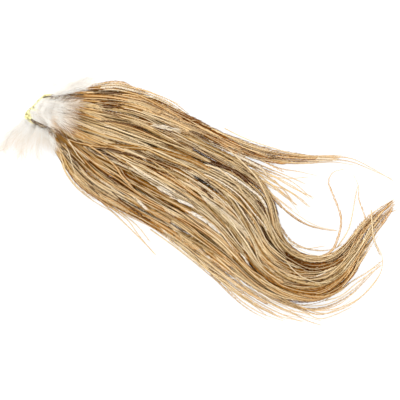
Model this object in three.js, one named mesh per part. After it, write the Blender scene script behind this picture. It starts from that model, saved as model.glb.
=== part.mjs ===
// A rooster's saddle hackle: fifty-one long ginger feathers and seven short white downy ones that
// grow from a small dried patch of skin. It lies on a surface, its feathers swept into a hook.
// Units are millimetres and +Z is up. The origin is on the skin's flat underside, the skin's front
// rim is on the -X side, and the feathers run towards +X.

import * as THREE from "three";

// The skin: how thick it has dried, its rounded rim and its outline.
const SKIN_THICKNESS = 1.1;
const SKIN_RIM_RADIUS = 0.3;
const SKIN_RIM_POINTS = 24;
const SKIN_OUTLINE = [
  [-6, 13], [3, 13.5], [12, 10], [17, 1], [13, -8], [5, -15], [-3, -12.5], [-18, -3], [-14, 6.5],
];

// One feather's section is a flat diamond: the edges of its two vanes, a ridge over the quill and
// a keel under it, which has that share of the ridge's height.
const QUILL_WIDTH = 1.0;
const VANE_WIDTH = 7.4;
const TIP_WIDTH = 0.7;
const QUILL_HEIGHT = 0.95;
const TIP_HEIGHT = 0.45;
const KEEL_SHARE = 0.3;
const SIDES = 4;
const STATION_SPACING = 11.5;

// The vanes open past half of the bare quill's length, are widest between two shares of the
// feather's length, and close at its tip or, on a feather with a tail, that far into the tail.
const BARE_LENGTH = 20;
const WIDE_FROM = 0.26;
const WIDE_TO = 0.5;
const TIP_CLOSES = 1.08;
const TAIL_CLOSES = 0.4;

// The most that a feather leans to one side, as the sine of the angle.
const MOST_ROLL = 0.34;

// The feathers lie in four layers, numbered from the bottom one, 0. Each layer is rooted nearer to
// the rim than the one below it, at this distance from the rim.
const ROOT_DISTANCES = [17, 12, 7, 2];

// How far one layer is above the next: where the quills are packed, at the sides of the body, how
// much more in its middle, and at the tips. The distances are from the origin.
const ROOT_PITCH = 1.4;
const SIDE_PITCH = 1.7;
const CROWN_PITCH = 1.15;
const TIP_PITCH = 1.05;
const PACKED_TO = 14;
const OPEN_FROM = 60;
const THINS_FROM = 165;
const THIN_FROM = 222;

// Beyond the skin the feathers come down to the surface between these distances.
const SKIN_REACH = 21;
const SURFACE_FROM = 34;

// The least space between two pieces.
const GAP = 0.4;

// How many steps of a lane shape a feather's route before its tail.
const LANE_STEPS = 16;

// Lines that the feathers follow, as [x, y] places from the rim to the tip. The lines of one sheet
// have the same number of places, so feathers that lie between them stay apart.
const WISP_UPPER = [
  [-4, 12], [23, 15.5], [52, 13], [81, 1], [108, -13], [133, -23], [159, -27], [186, -28], [215, -42],
];
const WISP_LOWER = [
  [-5, 10.6], [22, 9.5], [51, 6], [79, -6], [105, -18], [130, -27], [156, -30], [183, -30], [211, -40],
];
const FRINGE = [[-6, 9.2], [21, 5.5], [50, 0], [78, -12], [103, -24.5], [128, -33], [148, -41], [163, -53]];
const BROW = [[-2, 13.2], [10, 15.8], [24, 18], [34, 20], [42, 20.2], [49, 18]];
const HOOK_INNER = [
  [-7, 7.8], [12, 3], [31, -2], [54, -8], [77, -19], [100, -30.5], [120, -43], [132, -57], [138, -73],
  [149, -86], [166, -91], [181, -85.5], [194, -69], [213, -53.5],
];
const HOOK_MIDDLE = [
  [-10, 3.8], [6, -5], [23, -14], [44, -25], [66, -36], [87, -49], [106, -63], [120, -79], [131, -94],
  [146, -103], [166, -105], [184, -95], [198, -77], [213, -59],
];
const HOOK_OUTER = [
  [-13, -0.5], [0, -12], [14, -24], [31, -36], [51, -48], [73, -60], [95, -75], [113, -91], [129, -106],
  [146, -115], [166, -117], [183, -106], [198, -84], [210, -66],
];
const EDGE_UPPER = [
  [-13.5, -1.8], [-2, -14.5], [9, -27], [22, -40.5], [43, -53], [67, -66], [90, -82], [109, -97.5],
  [127, -111.5], [146, -121.5], [168, -127],
];
const EDGE_LOWER = [
  [-14, -3], [-4, -16], [4, -30], [15, -44], [36, -57.5], [61, -70.5], [85, -87], [104, -102.5],
  [122, -116], [143, -126.5], [167, -131.5],
];

// Each sheet has its lines, the number of lanes from its first line to its last, and where those
// two lie across the whole bundle, from 0 at its upper side to 1.
const SHEETS = {
  wisp: { lines: [WISP_UPPER, WISP_LOWER], lanes: 1, across: [0, 0.09] },
  brow: { lines: [BROW], lanes: 1, across: [0, 0] },
  fringe: { lines: [FRINGE], lanes: 1, across: [0.17, 0.17] },
  hook: { lines: [HOOK_INNER, HOOK_MIDDLE, HOOK_OUTER], lanes: 7, across: [0.25, 0.82] },
  edge: { lines: [EDGE_UPPER, EDGE_LOWER], lanes: 1, across: [0.91, 1] },
};

// The longer tails: along the bay inside the hook, up each side of the thin arch that stands in
// the bay, and round outside the hook and back over its tips.
const BAY_TAIL = [
  [125, -43], [135, -57], [141, -69], [149, -80], [160, -85], [173, -85], [181, -81],
];
const ARCH_LEFT_TAIL = [
  [153, -89], [165, -91], [174, -86], [179, -75], [180, -65], [175, -51], [172, -42], [175, -36],
  [182, -34],
];
const ARCH_RIGHT_TAIL = [[195, -68], [194, -62], [191, -53], [191, -45], [188, -38]];
const CURL_TAIL = [
  [146, -117], [163, -123], [180, -121], [195, -112], [205, -99], [206, -89], [202, -80], [200, -72],
  [199, -63],
];

// Feathers as [sheet, lane, layer, end], with the end as a share of the sheet's length. A fifth
// entry is a tail: past that end the feather leaves the sheet and runs through those places.
const FEATHERS = [
  // The wisp at the upper side, and the short feathers beside it.
  ["wisp", 0, 0, 0.99],
  ["wisp", 1, 0, 0.9],
  ["wisp", 0.5, 1, 1],
  ["wisp", 1.5, 1, 0.62, [[129, -32], [142, -34], [154, -35.5], [165, -38]]],
  ["wisp", 0, 2, 0.85],
  ["wisp", 1, 2, 0.78],
  ["wisp", 0.4, 3, 0.7],
  ["brow", 0, 1, 1],
  ["wisp", -0.35, 3, 0.36],

  // The fringe of loose tips between the wisp and the hook.
  ["fringe", 0, 0, 1],
  ["fringe", 0, 2, 0.66, [[125, -33], [136, -40], [144, -47], [150, -54]]],
  ["fringe", 0, 3, 0.5, [[108, -29.5], [122, -38], [137, -50], [151, -62], [164, -70], [177, -73]]],
  ["hook", -0.5, 1, 0.36, [[104, -30], [119, -37], [135, -44], [147, -53], [154, -62]]],

  // The bottom of the hook, and the single feather inside it.
  ["hook", 0, 0, 0.93],
  ["hook", 1, 0, 1],
  ["hook", 2, 0, 0.9],
  ["hook", 3, 0, 1],
  ["hook", 4, 0, 0.87],
  ["hook", 5, 0, 0.95],
  ["hook", 6, 0, 0.83],
  ["hook", -0.85, 0, 0.43, BAY_TAIL],

  // The middle of the hook.
  ["hook", 0.5, 1, 0.97],
  ["hook", 1.5, 1, 0.85],
  ["hook", 2.5, 1, 1],
  ["hook", 3.5, 1, 0.93],
  ["hook", 4.5, 1, 0.88],
  ["hook", 5.5, 1, 0.98],

  // The top of the hook.
  ["hook", 0, 2, 0.9],
  ["hook", 1, 2, 0.99],
  ["hook", 2, 2, 0.83],
  ["hook", 3, 2, 0.95],
  ["hook", 4, 2, 0.91],
  ["hook", 5, 2, 0.86],
  ["hook", 6, 2, 0.8],

  // Feathers over the hook. Two of them rise from its inner side as a thin arch.
  ["hook", 2.5, 3, 0.72],
  ["hook", 4.5, 3, 0.8],
  ["hook", 0.4, 3, 0.66, ARCH_LEFT_TAIL],
  ["hook", 1.3, 3, 0.86, ARCH_RIGHT_TAIL],

  // Thin arcs outside the hook. The last curls back over the hook's tips.
  ["hook", 7, 0, 0.62, [[147, -119], [166, -122], [184, -115], [198, -102], [205, -94]]],
  ["hook", 6.5, 1, 0.7, [[171, -115], [184, -107], [194, -101], [204, -95]]],
  ["hook", 7, 2, 0.58, [[146, -118], [163, -123], [178, -120], [190, -111]]],
  ["hook", 6.5, 3, 0.6, CURL_TAIL],

  // The lower side.
  ["edge", 0, 0, 0.97],
  ["edge", 1, 0, 0.62, [[109, -111], [122, -122], [134, -129]]],
  ["edge", -0.4, 1, 0.93, [[166, -125.5], [177, -123], [187, -117]]],
  ["edge", 0.4, 1, 1],
  ["edge", 1.05, 1, 0.33, [[50, -74], [57, -81], [64, -88]]],
  ["edge", 0, 2, 0.9],
  ["edge", 1, 2, 0.96],
  ["edge", 0.5, 3, 0.66, [[112, -113], [128, -124], [144, -129.5]]],
  ["edge", -0.4, 3, 0.8],
];

// Downy feathers as [root, middle, tip, height at the root, height at the tip, width, thickness].
const DOWN_SEGMENTS = 6;
const DOWN_SIDES = 12;
const DOWN_LOBE = 0.2;
const DOWN = [
  [[-7, 15], [0, 20.5], [12, 27.5], 1.5, 0.3, 6.4, 3],
  [[2.5, 16.8], [13, 21], [28, 25.5], 1.5, 0.3, 7.4, 3.2],
  [[-10, 8.5], [1, 8.5], [15, 8], 2.8, 8, 9, 3],
  [[-13.5, 2.5], [-3, -0.5], [11, -2.5], 2.8, 8, 9, 3],
  [[-20.5, -5], [-28, -12.5], [-33, -22.5], 1.5, 0.3, 8.4, 3.2],
  [[-16, -7.5], [-20, -16], [-22, -26.5], 1.5, 0.3, 9.4, 3.6],
  [[-9.5, -13], [-10.5, -19.5], [-11, -27.5], 1.5, 0.3, 9.8, 3.4],
];

const SKIN_COLOUR = 0xefe2ae;
const FEATHER_COLOUR = 0xc59a5e;
const DOWN_COLOUR = 0xf3ece0;

const mix = (a, b, share) => a + (b - a) * share;

const smooth = (from, to, value) => THREE.MathUtils.smoothstep(value, from, to);

// A repeatable number from -1 to 1 for the feather of that order.
function chance(order) {
  const wave = Math.sin((order + 1) * 12.9898) * 43758.5453;
  return 2 * (wave - Math.floor(wave)) - 1;
}

// A smooth line through [x, y] places.
function lineThrough(places) {
  const points = places.map(([x, y]) => new THREE.Vector3(x, y, 0));
  return new THREE.CatmullRomCurve3(points, false, "centripetal");
}

// The place in a sheet's lane at a share of its length. Beyond the sheet's outer lines the lanes
// carry on at the same spacing.
function placeInLane(sheet, lane, along) {
  const spans = sheet.curves.length - 1;
  if (spans === 0) return sheet.curves[0].getPoint(along);
  const across = (lane / sheet.lanes) * spans;
  const span = THREE.MathUtils.clamp(Math.floor(across), 0, spans - 1);
  const near = sheet.curves[span].getPoint(along);
  const far = sheet.curves[span + 1].getPoint(along);
  return near.lerp(far, across - span);
}

// The share of a sheet's length that lies at a distance from the rim, on its first stretch.
function alongAt(sheet, distance) {
  const [[x0, y0], [x1, y1]] = sheet.lines[0];
  const stretches = sheet.lines[0].length - 1;
  return distance / Math.hypot(x1 - x0, y1 - y0) / stretches;
}

// How far one layer lies above the next, at a distance from the origin.
function layerPitch(across, distance) {
  const crown = Math.sin(Math.PI * THREE.MathUtils.clamp(across, 0, 1)) ** 1.5;
  const body = SIDE_PITCH + CROWN_PITCH * crown;
  const opened = mix(ROOT_PITCH, body, smooth(PACKED_TO, OPEN_FROM, distance));
  const tips = TIP_PITCH + 0.45 * CROWN_PITCH * crown;
  return mix(opened, tips, smooth(THINS_FROM, THIN_FROM, distance));
}

// A feather's route: places on it, the direction there, and how high it lies. The first stretch
// climbs from the skin over the roots of the layers below.
function routeOf([sheetName, lane, layer, end, tail = []]) {
  const sheet = SHEETS[sheetName];
  const root = alongAt(sheet, ROOT_DISTANCES[layer]);
  const clear = alongAt(sheet, ROOT_DISTANCES[0]);
  const shares = Array.from({ length: LANE_STEPS + 1 }, (_, i) => mix(clear, end, i / LANE_STEPS));
  const inLane = shares.map((share) => placeInLane(sheet, lane, share));
  const line = lineThrough([...inLane.map(({ x, y }) => [x, y]), ...tail]);
  const count = Math.round(line.getLength() / STATION_SPACING);
  const places = line.getPoints(count);
  const directions = places.map((_, i) => line.getTangent(i / count));
  if (layer > 0) {
    places.unshift(placeInLane(sheet, lane, root));
    directions.unshift(places[1].clone().sub(places[0]).normalize());
  }
  const across = mix(...sheet.across, lane / sheet.lanes);
  const lengths = [0];
  places.slice(1).forEach((place, i) => lengths.push(lengths[i] + place.distanceTo(places[i])));
  const total = lengths[lengths.length - 1];
  const laneShare = LANE_STEPS / (LANE_STEPS + tail.length);
  const leaves = lengths[Math.round((places.length - 1) * laneShare)] / total;
  return places.map((place, i) => {
    const distance = place.length();
    const pitch = layerPitch(across, distance);
    const onSkin = 1 - smooth(SKIN_REACH, SURFACE_FROM, distance);
    const climbed = layer > 0 && i === 0 ? 0 : 1;
    return {
      place,
      ahead: directions[i],
      share: lengths[i] / total,
      opens: BARE_LENGTH / total,
      closes: tail.length ? mix(leaves, 1, TAIL_CLOSES) : TIP_CLOSES,
      pitch,
      height: (SKIN_THICKNESS + GAP) * onSkin + climbed * layer * pitch,
    };
  });
}

// The distance from a place to the nearest of the other routes in the same layer.
function roomAt(place, routes) {
  const stretch = new THREE.Line3();
  const nearest = new THREE.Vector3();
  let room = Infinity;
  for (const route of routes) {
    for (let i = 1; i < route.length; i++) {
      stretch.set(route[i - 1].place, route[i].place);
      stretch.closestPointToPoint(place, true, nearest);
      room = Math.min(room, nearest.distanceTo(place));
    }
  }
  return room;
}

// How wide the feather is at a station: its vanes fill the room between its neighbours.
function widthAt({ place, share, opens, closes }, neighbours) {
  const opening = smooth(0.5 * opens, WIDE_FROM, share);
  const closing = 1 - smooth(WIDE_TO * closes, closes, share);
  const bare = mix(QUILL_WIDTH, TIP_WIDTH, share);
  const wished = mix(bare, VANE_WIDTH, opening * closing);
  return Math.min(wished, Math.max(bare, roomAt(place, neighbours) - GAP));
}

// Bends a closed four-sided bar along a route: its corners become the edges of the two vanes, the
// ridge above the quill and the keel below it.
function featherGeometry(route, neighbours, order) {
  const segments = route.length - 1;
  const bar = new THREE.CylinderGeometry(1, 1, 1, SIDES, segments);
  const corner = bar.getAttribute("position");
  const up = new THREE.Vector3(0, 0, 1);
  const widths = route.map((station) => widthAt(station, neighbours));
  for (let i = 0; i < corner.count; i++) {
    const at = Math.round((corner.getY(i) + 0.5) * segments);
    const { place, ahead, share, pitch, height } = route[at];
    const width = widths[at];
    const ridge = mix(QUILL_HEIGHT, TIP_HEIGHT, share);
    const spare = Math.max(0, pitch - ridge - GAP);
    const roll = chance(order) * Math.min(MOST_ROLL, spare / width);
    const side = new THREE.Vector3().crossVectors(ahead, up).normalize();
    side.multiplyScalar(Math.sqrt(1 - roll * roll)).addScaledVector(up, roll);
    const over = new THREE.Vector3().crossVectors(side, ahead).normalize();
    const keelToEdge = KEEL_SHARE * ridge;
    const lift = Math.max(0, (width / 2) * Math.abs(roll) - keelToEdge);
    const level = corner.getZ(i);
    const rise = level > 0.5 ? ridge : level < -0.5 ? 0 : keelToEdge;
    const made = place.clone()
      .addScaledVector(side, (corner.getX(i) * width) / 2)
      .addScaledVector(over, rise);
    corner.setXYZ(i, made.x, made.y, made.z + height + lift);
  }
  return bar;
}

// Bends a closed many-sided bar into a soft lobed pad from its root to its tip.
function downGeometry([root, middle, tip, rootHeight, tipHeight, width, thickness], order) {
  const bar = new THREE.CylinderGeometry(1, 1, 1, DOWN_SIDES, DOWN_SEGMENTS);
  const corner = bar.getAttribute("position");
  const line = lineThrough([root, middle, tip]);
  for (let i = 0; i < corner.count; i++) {
    const share = corner.getY(i) + 0.5;
    const ahead = line.getTangent(share);
    const side = new THREE.Vector3(ahead.y, -ahead.x, 0);
    const spread = 0.14 + 0.86 * Math.sin(Math.PI * (0.08 + 0.8 * share)) ** 0.8;
    const turn = Math.atan2(corner.getZ(i), corner.getX(i));
    const lobe = 1 - DOWN_LOBE * Math.abs(Math.sin(2 * turn + 7 * share + 3 * chance(order)));
    const reach = spread * lobe;
    const made = line.getPoint(share).addScaledVector(side, (corner.getX(i) * reach * width) / 2);
    const rise = (1 + corner.getZ(i) * reach) * (thickness / 2);
    corner.setXYZ(i, made.x, made.y, mix(rootHeight, tipHeight, share) + rise);
  }
  return bar;
}

// The dried skin: its outline laid flat, with a rounded rim.
function skinGeometry() {
  const rim = lineThrough([...SKIN_OUTLINE, SKIN_OUTLINE[0]]).getPoints(SKIN_RIM_POINTS);
  const outline = new THREE.Shape(rim.slice(1).map(({ x, y }) => new THREE.Vector2(x, y)));
  const skin = new THREE.ExtrudeGeometry(outline, {
    depth: SKIN_THICKNESS - 2 * SKIN_RIM_RADIUS,
    bevelEnabled: true,
    bevelThickness: SKIN_RIM_RADIUS,
    bevelSize: SKIN_RIM_RADIUS,
    bevelSegments: 1,
    curveSegments: 1,
  });
  return skin.translate(0, 0, SKIN_RIM_RADIUS);
}

// A named mesh in a plain matt finish.
function piece(name, geometry, color) {
  const finish = new THREE.MeshStandardMaterial({ color, roughness: 0.7, metalness: 0 });
  const mesh = new THREE.Mesh(geometry, finish);
  mesh.name = name;
  return mesh;
}

for (const sheet of Object.values(SHEETS)) sheet.curves = sheet.lines.map(lineThrough);

const hackle = new THREE.Group();
hackle.add(piece("skin_patch", skinGeometry(), SKIN_COLOUR));

const routes = FEATHERS.map(routeOf);
FEATHERS.forEach(([, , layer], order) => {
  const neighbours = routes.filter((_, other) => other !== order && FEATHERS[other][2] === layer);
  const name = `feather_${String(order + 1).padStart(2, "0")}`;
  hackle.add(piece(name, featherGeometry(routes[order], neighbours, order), FEATHER_COLOUR));
});

DOWN.forEach((tuft, order) => {
  hackle.add(piece(`down_feather_${order + 1}`, downGeometry(tuft, order), DOWN_COLOUR));
});

export default hackle;
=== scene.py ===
import math

import bpy
import numpy as np
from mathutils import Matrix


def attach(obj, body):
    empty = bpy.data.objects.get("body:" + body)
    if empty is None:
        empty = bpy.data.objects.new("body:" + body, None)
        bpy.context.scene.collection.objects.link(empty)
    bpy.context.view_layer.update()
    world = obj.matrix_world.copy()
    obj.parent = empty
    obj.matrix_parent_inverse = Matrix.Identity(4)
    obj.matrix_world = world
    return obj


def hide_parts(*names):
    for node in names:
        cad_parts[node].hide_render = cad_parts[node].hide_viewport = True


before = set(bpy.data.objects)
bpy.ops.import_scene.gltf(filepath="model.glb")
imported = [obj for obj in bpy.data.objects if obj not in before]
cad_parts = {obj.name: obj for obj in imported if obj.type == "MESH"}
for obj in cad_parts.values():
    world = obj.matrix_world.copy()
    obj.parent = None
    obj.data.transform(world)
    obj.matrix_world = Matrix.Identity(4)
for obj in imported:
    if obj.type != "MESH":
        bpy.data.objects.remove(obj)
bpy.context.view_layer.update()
bpy.ops.object.select_all(action="DESELECT")
scene = bpy.context.scene


# The view
# The bundle lies on a white table and is seen straight from above, from so far away that nothing
# looks nearer than the rest. The picture takes in 252 mm of the table each way.
MM = 0.001
VIEW_CENTRE = (91.35 * MM, -53.55 * MM)
VIEW_WIDTH = 252 * MM
VIEW_HEIGHT = 800 * MM

camera_data = bpy.data.cameras.new("camera")
camera_data.type = "ORTHO"
camera_data.ortho_scale = VIEW_WIDTH
camera = bpy.data.objects.new("camera", camera_data)
camera.location = (*VIEW_CENTRE, VIEW_HEIGHT)
scene.collection.objects.link(camera)
scene.camera = camera


# The white table and the soft lights
# A large matt sheet of opal plastic lit from below, a broad lamp high at the upper left, a weaker
# one at the right and a white room around them, just bright enough for the sheet to be pure white.
TABLE_SIZE = 3.0
TABLE_DROP = 0.1 * MM
TABLE_OPAL = (0.18, 0.18, 0.18, 1)
TABLE_GLOW = 0.83
ROOM_LIGHT = 0.85

bpy.ops.mesh.primitive_plane_add(size=TABLE_SIZE, location=(*VIEW_CENTRE, -TABLE_DROP))
table = bpy.context.object
table.name = "table"
table_paint = bpy.data.materials.new("white table")
table_paint.use_nodes = True
table_shader = table_paint.node_tree.nodes["Principled BSDF"]
table_shader.inputs["Base Color"].default_value = TABLE_OPAL
table_shader.inputs["Roughness"].default_value = 0.9
table_shader.inputs["Emission Color"].default_value = (1, 1, 1, 1)
table_shader.inputs["Emission Strength"].default_value = TABLE_GLOW
table.data.materials.append(table_paint)

LAMPS = {
    # name: where it stands, its width and its power
    "upper_left_lamp": ((-0.45, 0.55, 0.95), 0.7, 13.0),
    "right_lamp": ((0.85, 0.1, 0.8), 0.9, 4.0),
    "lower_lamp": ((0.25, -0.8, 0.8), 0.9, 4.0),
}
for lamp_name, (place, size, power) in LAMPS.items():
    lamp_data = bpy.data.lights.new(lamp_name, "AREA")
    lamp_data.size = size
    lamp_data.energy = power
    lamp = bpy.data.objects.new(lamp_name, lamp_data)
    lamp.location = place
    aim = np.array([*VIEW_CENTRE, 0.0]) - np.array(place)
    level = math.hypot(aim[0], aim[1])
    lamp.rotation_euler = (math.atan2(level, -aim[2]), 0, math.atan2(aim[1], aim[0]) - math.pi / 2)
    scene.collection.objects.link(lamp)

room = bpy.data.worlds.new("white room")
room.use_nodes = True
room.node_tree.nodes["Background"].inputs["Color"].default_value = (1, 1, 1, 1)
room.node_tree.nodes["Background"].inputs["Strength"].default_value = ROOM_LIGHT
scene.world = room
scene.view_settings.view_transform = "Standard"


# The lie of the hackles
# Saddle hackles grow from the skin at the left in rows that lie over each other. Combed out, they
# follow a few sheets: a wisp, a fringe and a hook, with loose feathers at the lower edge.

# Sizes are in mm. Layers count up from 0 at the table, and lanes from 0 at the upper or inner side.
SKIN_THICKNESS = 1.1
LYING_GAP = 0.4
# how far from the rim each layer is rooted, the lowest first
ROOT_DISTANCES = [17, 12, 7, 2]
# distances from the middle of the skin between which the feathers come down from it
SKIN_REACH = (21, 34)
# the height of a layer at the root, at the sides, how much more in the middle, and at the tips
PACKED_PITCH = 1.4
SIDE_PITCH = 1.7
CROWN_PITCH = 1.15
TIP_PITCH = 1.05
CROWN_ROUNDNESS = 1.5
TIP_CROWN = 0.45
# distances from the middle of the skin between which the layers open, and then thin out
OPENING = (14, 60)
THINNING = (165, 222)
# from one place on a quill to the next
STATION = 1.1
GUIDES = {
    # the lines that the sheets follow, from the rim to the tips
    "wisp_upper": [
        (-4, 12), (23, 15.5), (52, 13), (81, 1), (108, -13), (133, -23), (159, -27), (186, -28),
        (215, -42),
    ],
    "wisp_lower": [
        (-5, 10.6), (22, 9.5), (51, 6), (79, -6), (105, -18), (130, -27), (156, -30), (183, -30),
        (211, -40),
    ],
    "fringe": [
        (-6, 9.2), (21, 5.5), (50, 0), (78, -12), (103, -24.5), (128, -33), (148, -41), (163, -53),
    ],
    "brow": [(-2, 13.2), (10, 15.8), (24, 18), (34, 20), (42, 20.2), (49, 18)],
    "hook_inner": [
        (-7, 7.8), (12, 3), (31, -2), (54, -8), (77, -19), (100, -30.5), (120, -43), (132, -57),
        (138, -73), (149, -86), (166, -91), (181, -85.5), (195, -66.5), (214, -53),
    ],
    "hook_brim": [
        (-6, 9.2), (20, 5), (44, 0), (68, -7), (92, -16), (112, -26), (129, -38.5), (138.5, -53),
        (141, -67), (149, -84.5), (166, -90), (181, -84.5), (194, -67.5), (212, -54),
    ],
    "hook_middle": [
        (-10, 3.8), (6, -5), (23, -14), (44, -25), (66, -36), (87, -49), (106, -63), (120, -79),
        (131, -94), (146, -103), (166, -105), (184, -95), (197.5, -75.5), (214, -56.7),
    ],
    "hook_outer": [
        (-13, -0.5), (0, -12), (14, -24), (31, -36), (51, -48), (73, -60), (95, -75), (113, -91),
        (129, -106), (146, -115), (166, -117), (183, -106), (198, -84), (213, -62),
    ],
    "edge_upper": [
        (-13.5, -1.8), (-2, -14.5), (9, -27), (22, -40.5), (43, -53), (67, -66), (90, -82),
        (109, -97.5), (127, -111.5), (146, -121.5), (168, -127),
    ],
    "middle_upper": [
        (-5, 10.6), (22, 9.5), (51, 6), (79, -6), (105, -18), (130, -27), (150, -34),
    ],
    "middle_centre": [
        (-6, 9.2), (21, 5.5), (50, 0), (78, -12), (103, -24.5), (128, -33), (148, -41),
    ],
    "middle_lower": [
        (-7, 7.8), (20, 1), (48, -6), (76, -18.5), (100, -30.5), (120, -43), (131, -56),
    ],
    "edge_lower": [
        (-14, -3), (-4, -16), (4, -30), (15, -44), (36, -57.5), (61, -70.5), (85, -87),
        (104, -102.5), (122, -116), (143, -126.5), (167, -131.5),
    ],
}
SHEETS = {
    # name: its guide lines in order, how many lanes, and its part of the width of the bundle
    "wisp": (["wisp_upper", "wisp_lower"], 1, (0, 0.09)),
    "brow": (["brow"], 1, (0, 0)),
    "fringe": (["fringe"], 1, (0.17, 0.17)),
    "middle": (["middle_upper", "middle_centre", "middle_lower"], 3, (0.09, 0.25)),
    "hook": (["hook_inner", "hook_middle", "hook_outer"], 7, (0.25, 0.82)),
    "brim": (["hook_brim", "hook_inner"], 2, (0.2, 0.3)),
    "edge": (["edge_upper", "edge_lower"], 1, (0.91, 1)),
}


def mix(a, b, share):
    """The value at a share of the way from a to b."""
    return a + (b - a) * share


def smooth(start, end, value):
    """Rises from 0 at start to 1 at end, gently at both."""
    share = np.clip((value - start) / (end - start), 0, 1)
    return share * share * (3 - 2 * share)


def line_through(points, shares):
    """Places at shares of a smooth line through points, with the same share for each stretch."""
    points = np.asarray(points, float)
    padded = np.vstack([2 * points[0] - points[1], points, 2 * points[-1] - points[-2]])
    counted = np.clip(shares, 0, 1) * (len(points) - 1)
    first = np.minimum(counted.astype(int), len(points) - 2)
    t = (counted - first)[:, None]
    before, start, end, after = (padded[first + i] for i in range(4))
    gap_before, gap, gap_after = (
        np.sqrt(np.linalg.norm(b - a, axis=1) + 1e-9)[:, None]
        for a, b in ((before, start), (start, end), (end, after))
    )
    leaving = (start - before) / gap_before - (end - before) / (gap_before + gap)
    leaving = (leaving + (end - start) / gap) * gap
    arriving = (end - start) / gap - (after - start) / (gap + gap_after)
    arriving = (arriving + (after - end) / gap_after) * gap
    return (
        (2 * t**3 - 3 * t**2 + 1) * start
        + (t**3 - 2 * t**2 + t) * leaving
        + (3 * t**2 - 2 * t**3) * end
        + (t**3 - t**2) * arriving
    )


def lane_places(sheet_name, lanes, shares):
    """Places at shares of a sheet's length, each in its own lane."""
    names, count, _ = SHEETS[sheet_name]
    lines = np.stack([line_through(GUIDES[name], shares) for name in names])
    if len(names) == 1:
        return lines[0]
    across = lanes / count * (len(names) - 1)
    span = np.clip(np.floor(across).astype(int), 0, len(names) - 2)
    order = np.arange(len(shares))
    near = lines[span, order]
    far = lines[span + 1, order]
    return near + (far - near) * (across - span)[:, None]


def share_at(sheet_name, distance):
    """The share of a sheet's length that lies at a distance in mm from the rim."""
    first_line = np.array(GUIDES[SHEETS[sheet_name][0][0]], float)
    return distance / np.linalg.norm(first_line[1] - first_line[0]) / (len(first_line) - 1)


def layer_pitch(across, distance):
    """The height of one layer: packed at the root, high in the middle and low at the tips."""
    crown = math.sin(math.pi * min(max(across, 0), 1)) ** CROWN_ROUNDNESS
    body = SIDE_PITCH + CROWN_PITCH * crown
    opened = mix(PACKED_PITCH, body, smooth(*OPENING, distance))
    tips = TIP_PITCH + TIP_CROWN * CROWN_PITCH * crown
    return mix(opened, tips, smooth(*THINNING, distance))


def evenly(line, spacing):
    """The same line with its places a fixed distance apart."""
    steps = np.linalg.norm(np.diff(line, axis=0), axis=1)
    lengths = np.concatenate([[0], np.cumsum(steps)])
    count = max(4, int(round(lengths[-1] / spacing)) + 1)
    wanted = np.linspace(0, lengths[-1], count)
    return np.stack([np.interp(wanted, lengths, column) for column in line.T], axis=1)


LOCK_WIDTH = 1.7
LOCK_PULL = 0.13
LOCK_GATHERS = (0.03, 0.25)
# each wave's reach, rate and start
LOCK_WAVES = [(1.3, 5, 0.7), (0.8, 11, 2)]


def lock_shift(lane, shares):
    """Neighbouring feathers draw together into locks, which part and join along their length."""
    drift = sum(reach * np.sin(rate * shares + start) for reach, rate, start in LOCK_WAVES)
    pull = LOCK_PULL * LOCK_WIDTH * smooth(*LOCK_GATHERS, shares)
    return pull * np.sin(2 * math.pi * lane / LOCK_WIDTH + drift)


TIP_LOCKS = [1.0, 3.4, 5.9]
TIP_PULL = 0.4
TIP_GATHERS = (0.8, 1.0)


def tip_shift(lane, shares):
    """At the end of the hook the feathers cling together in three points."""
    nearest = min(TIP_LOCKS, key=lambda lock: abs(lock - lane))
    return TIP_PULL * (nearest - lane) * smooth(*TIP_GATHERS, shares)


# the lanes that are left in the arm of the hook, and the shares of its length where they close up
ARM_LANES = (0.15, 6.85)
ARM_GATHERS = (0.62, 0.86)
LOWEST_PARTED_LAYER = 0.9
PARTING_HALF_WIDTH = 0.7
PARTING_POINT = 0.06
PARTINGS = [
    # lane of the hook, where it opens and closes, and how far its two sides draw apart
    (4.9, 0.12, 0.25, 0.34),
    (2.2, 0.30, 0.46, 0.25),
    (3.6, 0.42, 0.60, 0.25),
    (1.2, 0.52, 0.66, 0.22),
    (5.6, 0.50, 0.64, 0.22),
]


def parting_shift(lanes, shares):
    """Here and there the feathers draw apart and leave a long dark gap."""
    moved = np.zeros(len(shares))
    for middle, start, end, pull in PARTINGS:
        offset = lanes - middle
        opened = smooth(start, start + PARTING_POINT, shares)
        opened = opened * (1 - smooth(end - PARTING_POINT, end, shares))
        nearness = np.exp(-((offset / PARTING_HALF_WIDTH) ** 2))
        moved = moved + pull * opened * np.sign(offset) * nearness
    return moved


# shares of the sheet's length between which a drifting feather changes its lane
LANE_LEFT_AT = 0.03
SETTLED_AT = 0.5


def lanes_along(sheet_name, lane, layer, shares, drift, settled):
    """The lane that a feather keeps to at each share of its sheet's length."""
    lanes = lane + drift * smooth(LANE_LEFT_AT, settled, shares) + lock_shift(lane, shares)
    if sheet_name != "hook":
        return lanes
    lanes = lanes + tip_shift(lane + drift, shares)
    lanes = lanes + min(max(layer - LOWEST_PARTED_LAYER, 0), 1) * parting_shift(lanes, shares)
    return mix(lanes, np.clip(lanes, *ARM_LANES), smooth(*ARM_GATHERS, shares))


# distances from its root over which a feather gets free to sway
FREE_OF_ROOT = (10, 70)
SWAY_LENGTHS = (130, 65, 32)
SWAY_FADING = 1.2
BOB_LENGTH = 61
BOB_HEIGHT = 0.35


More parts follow.
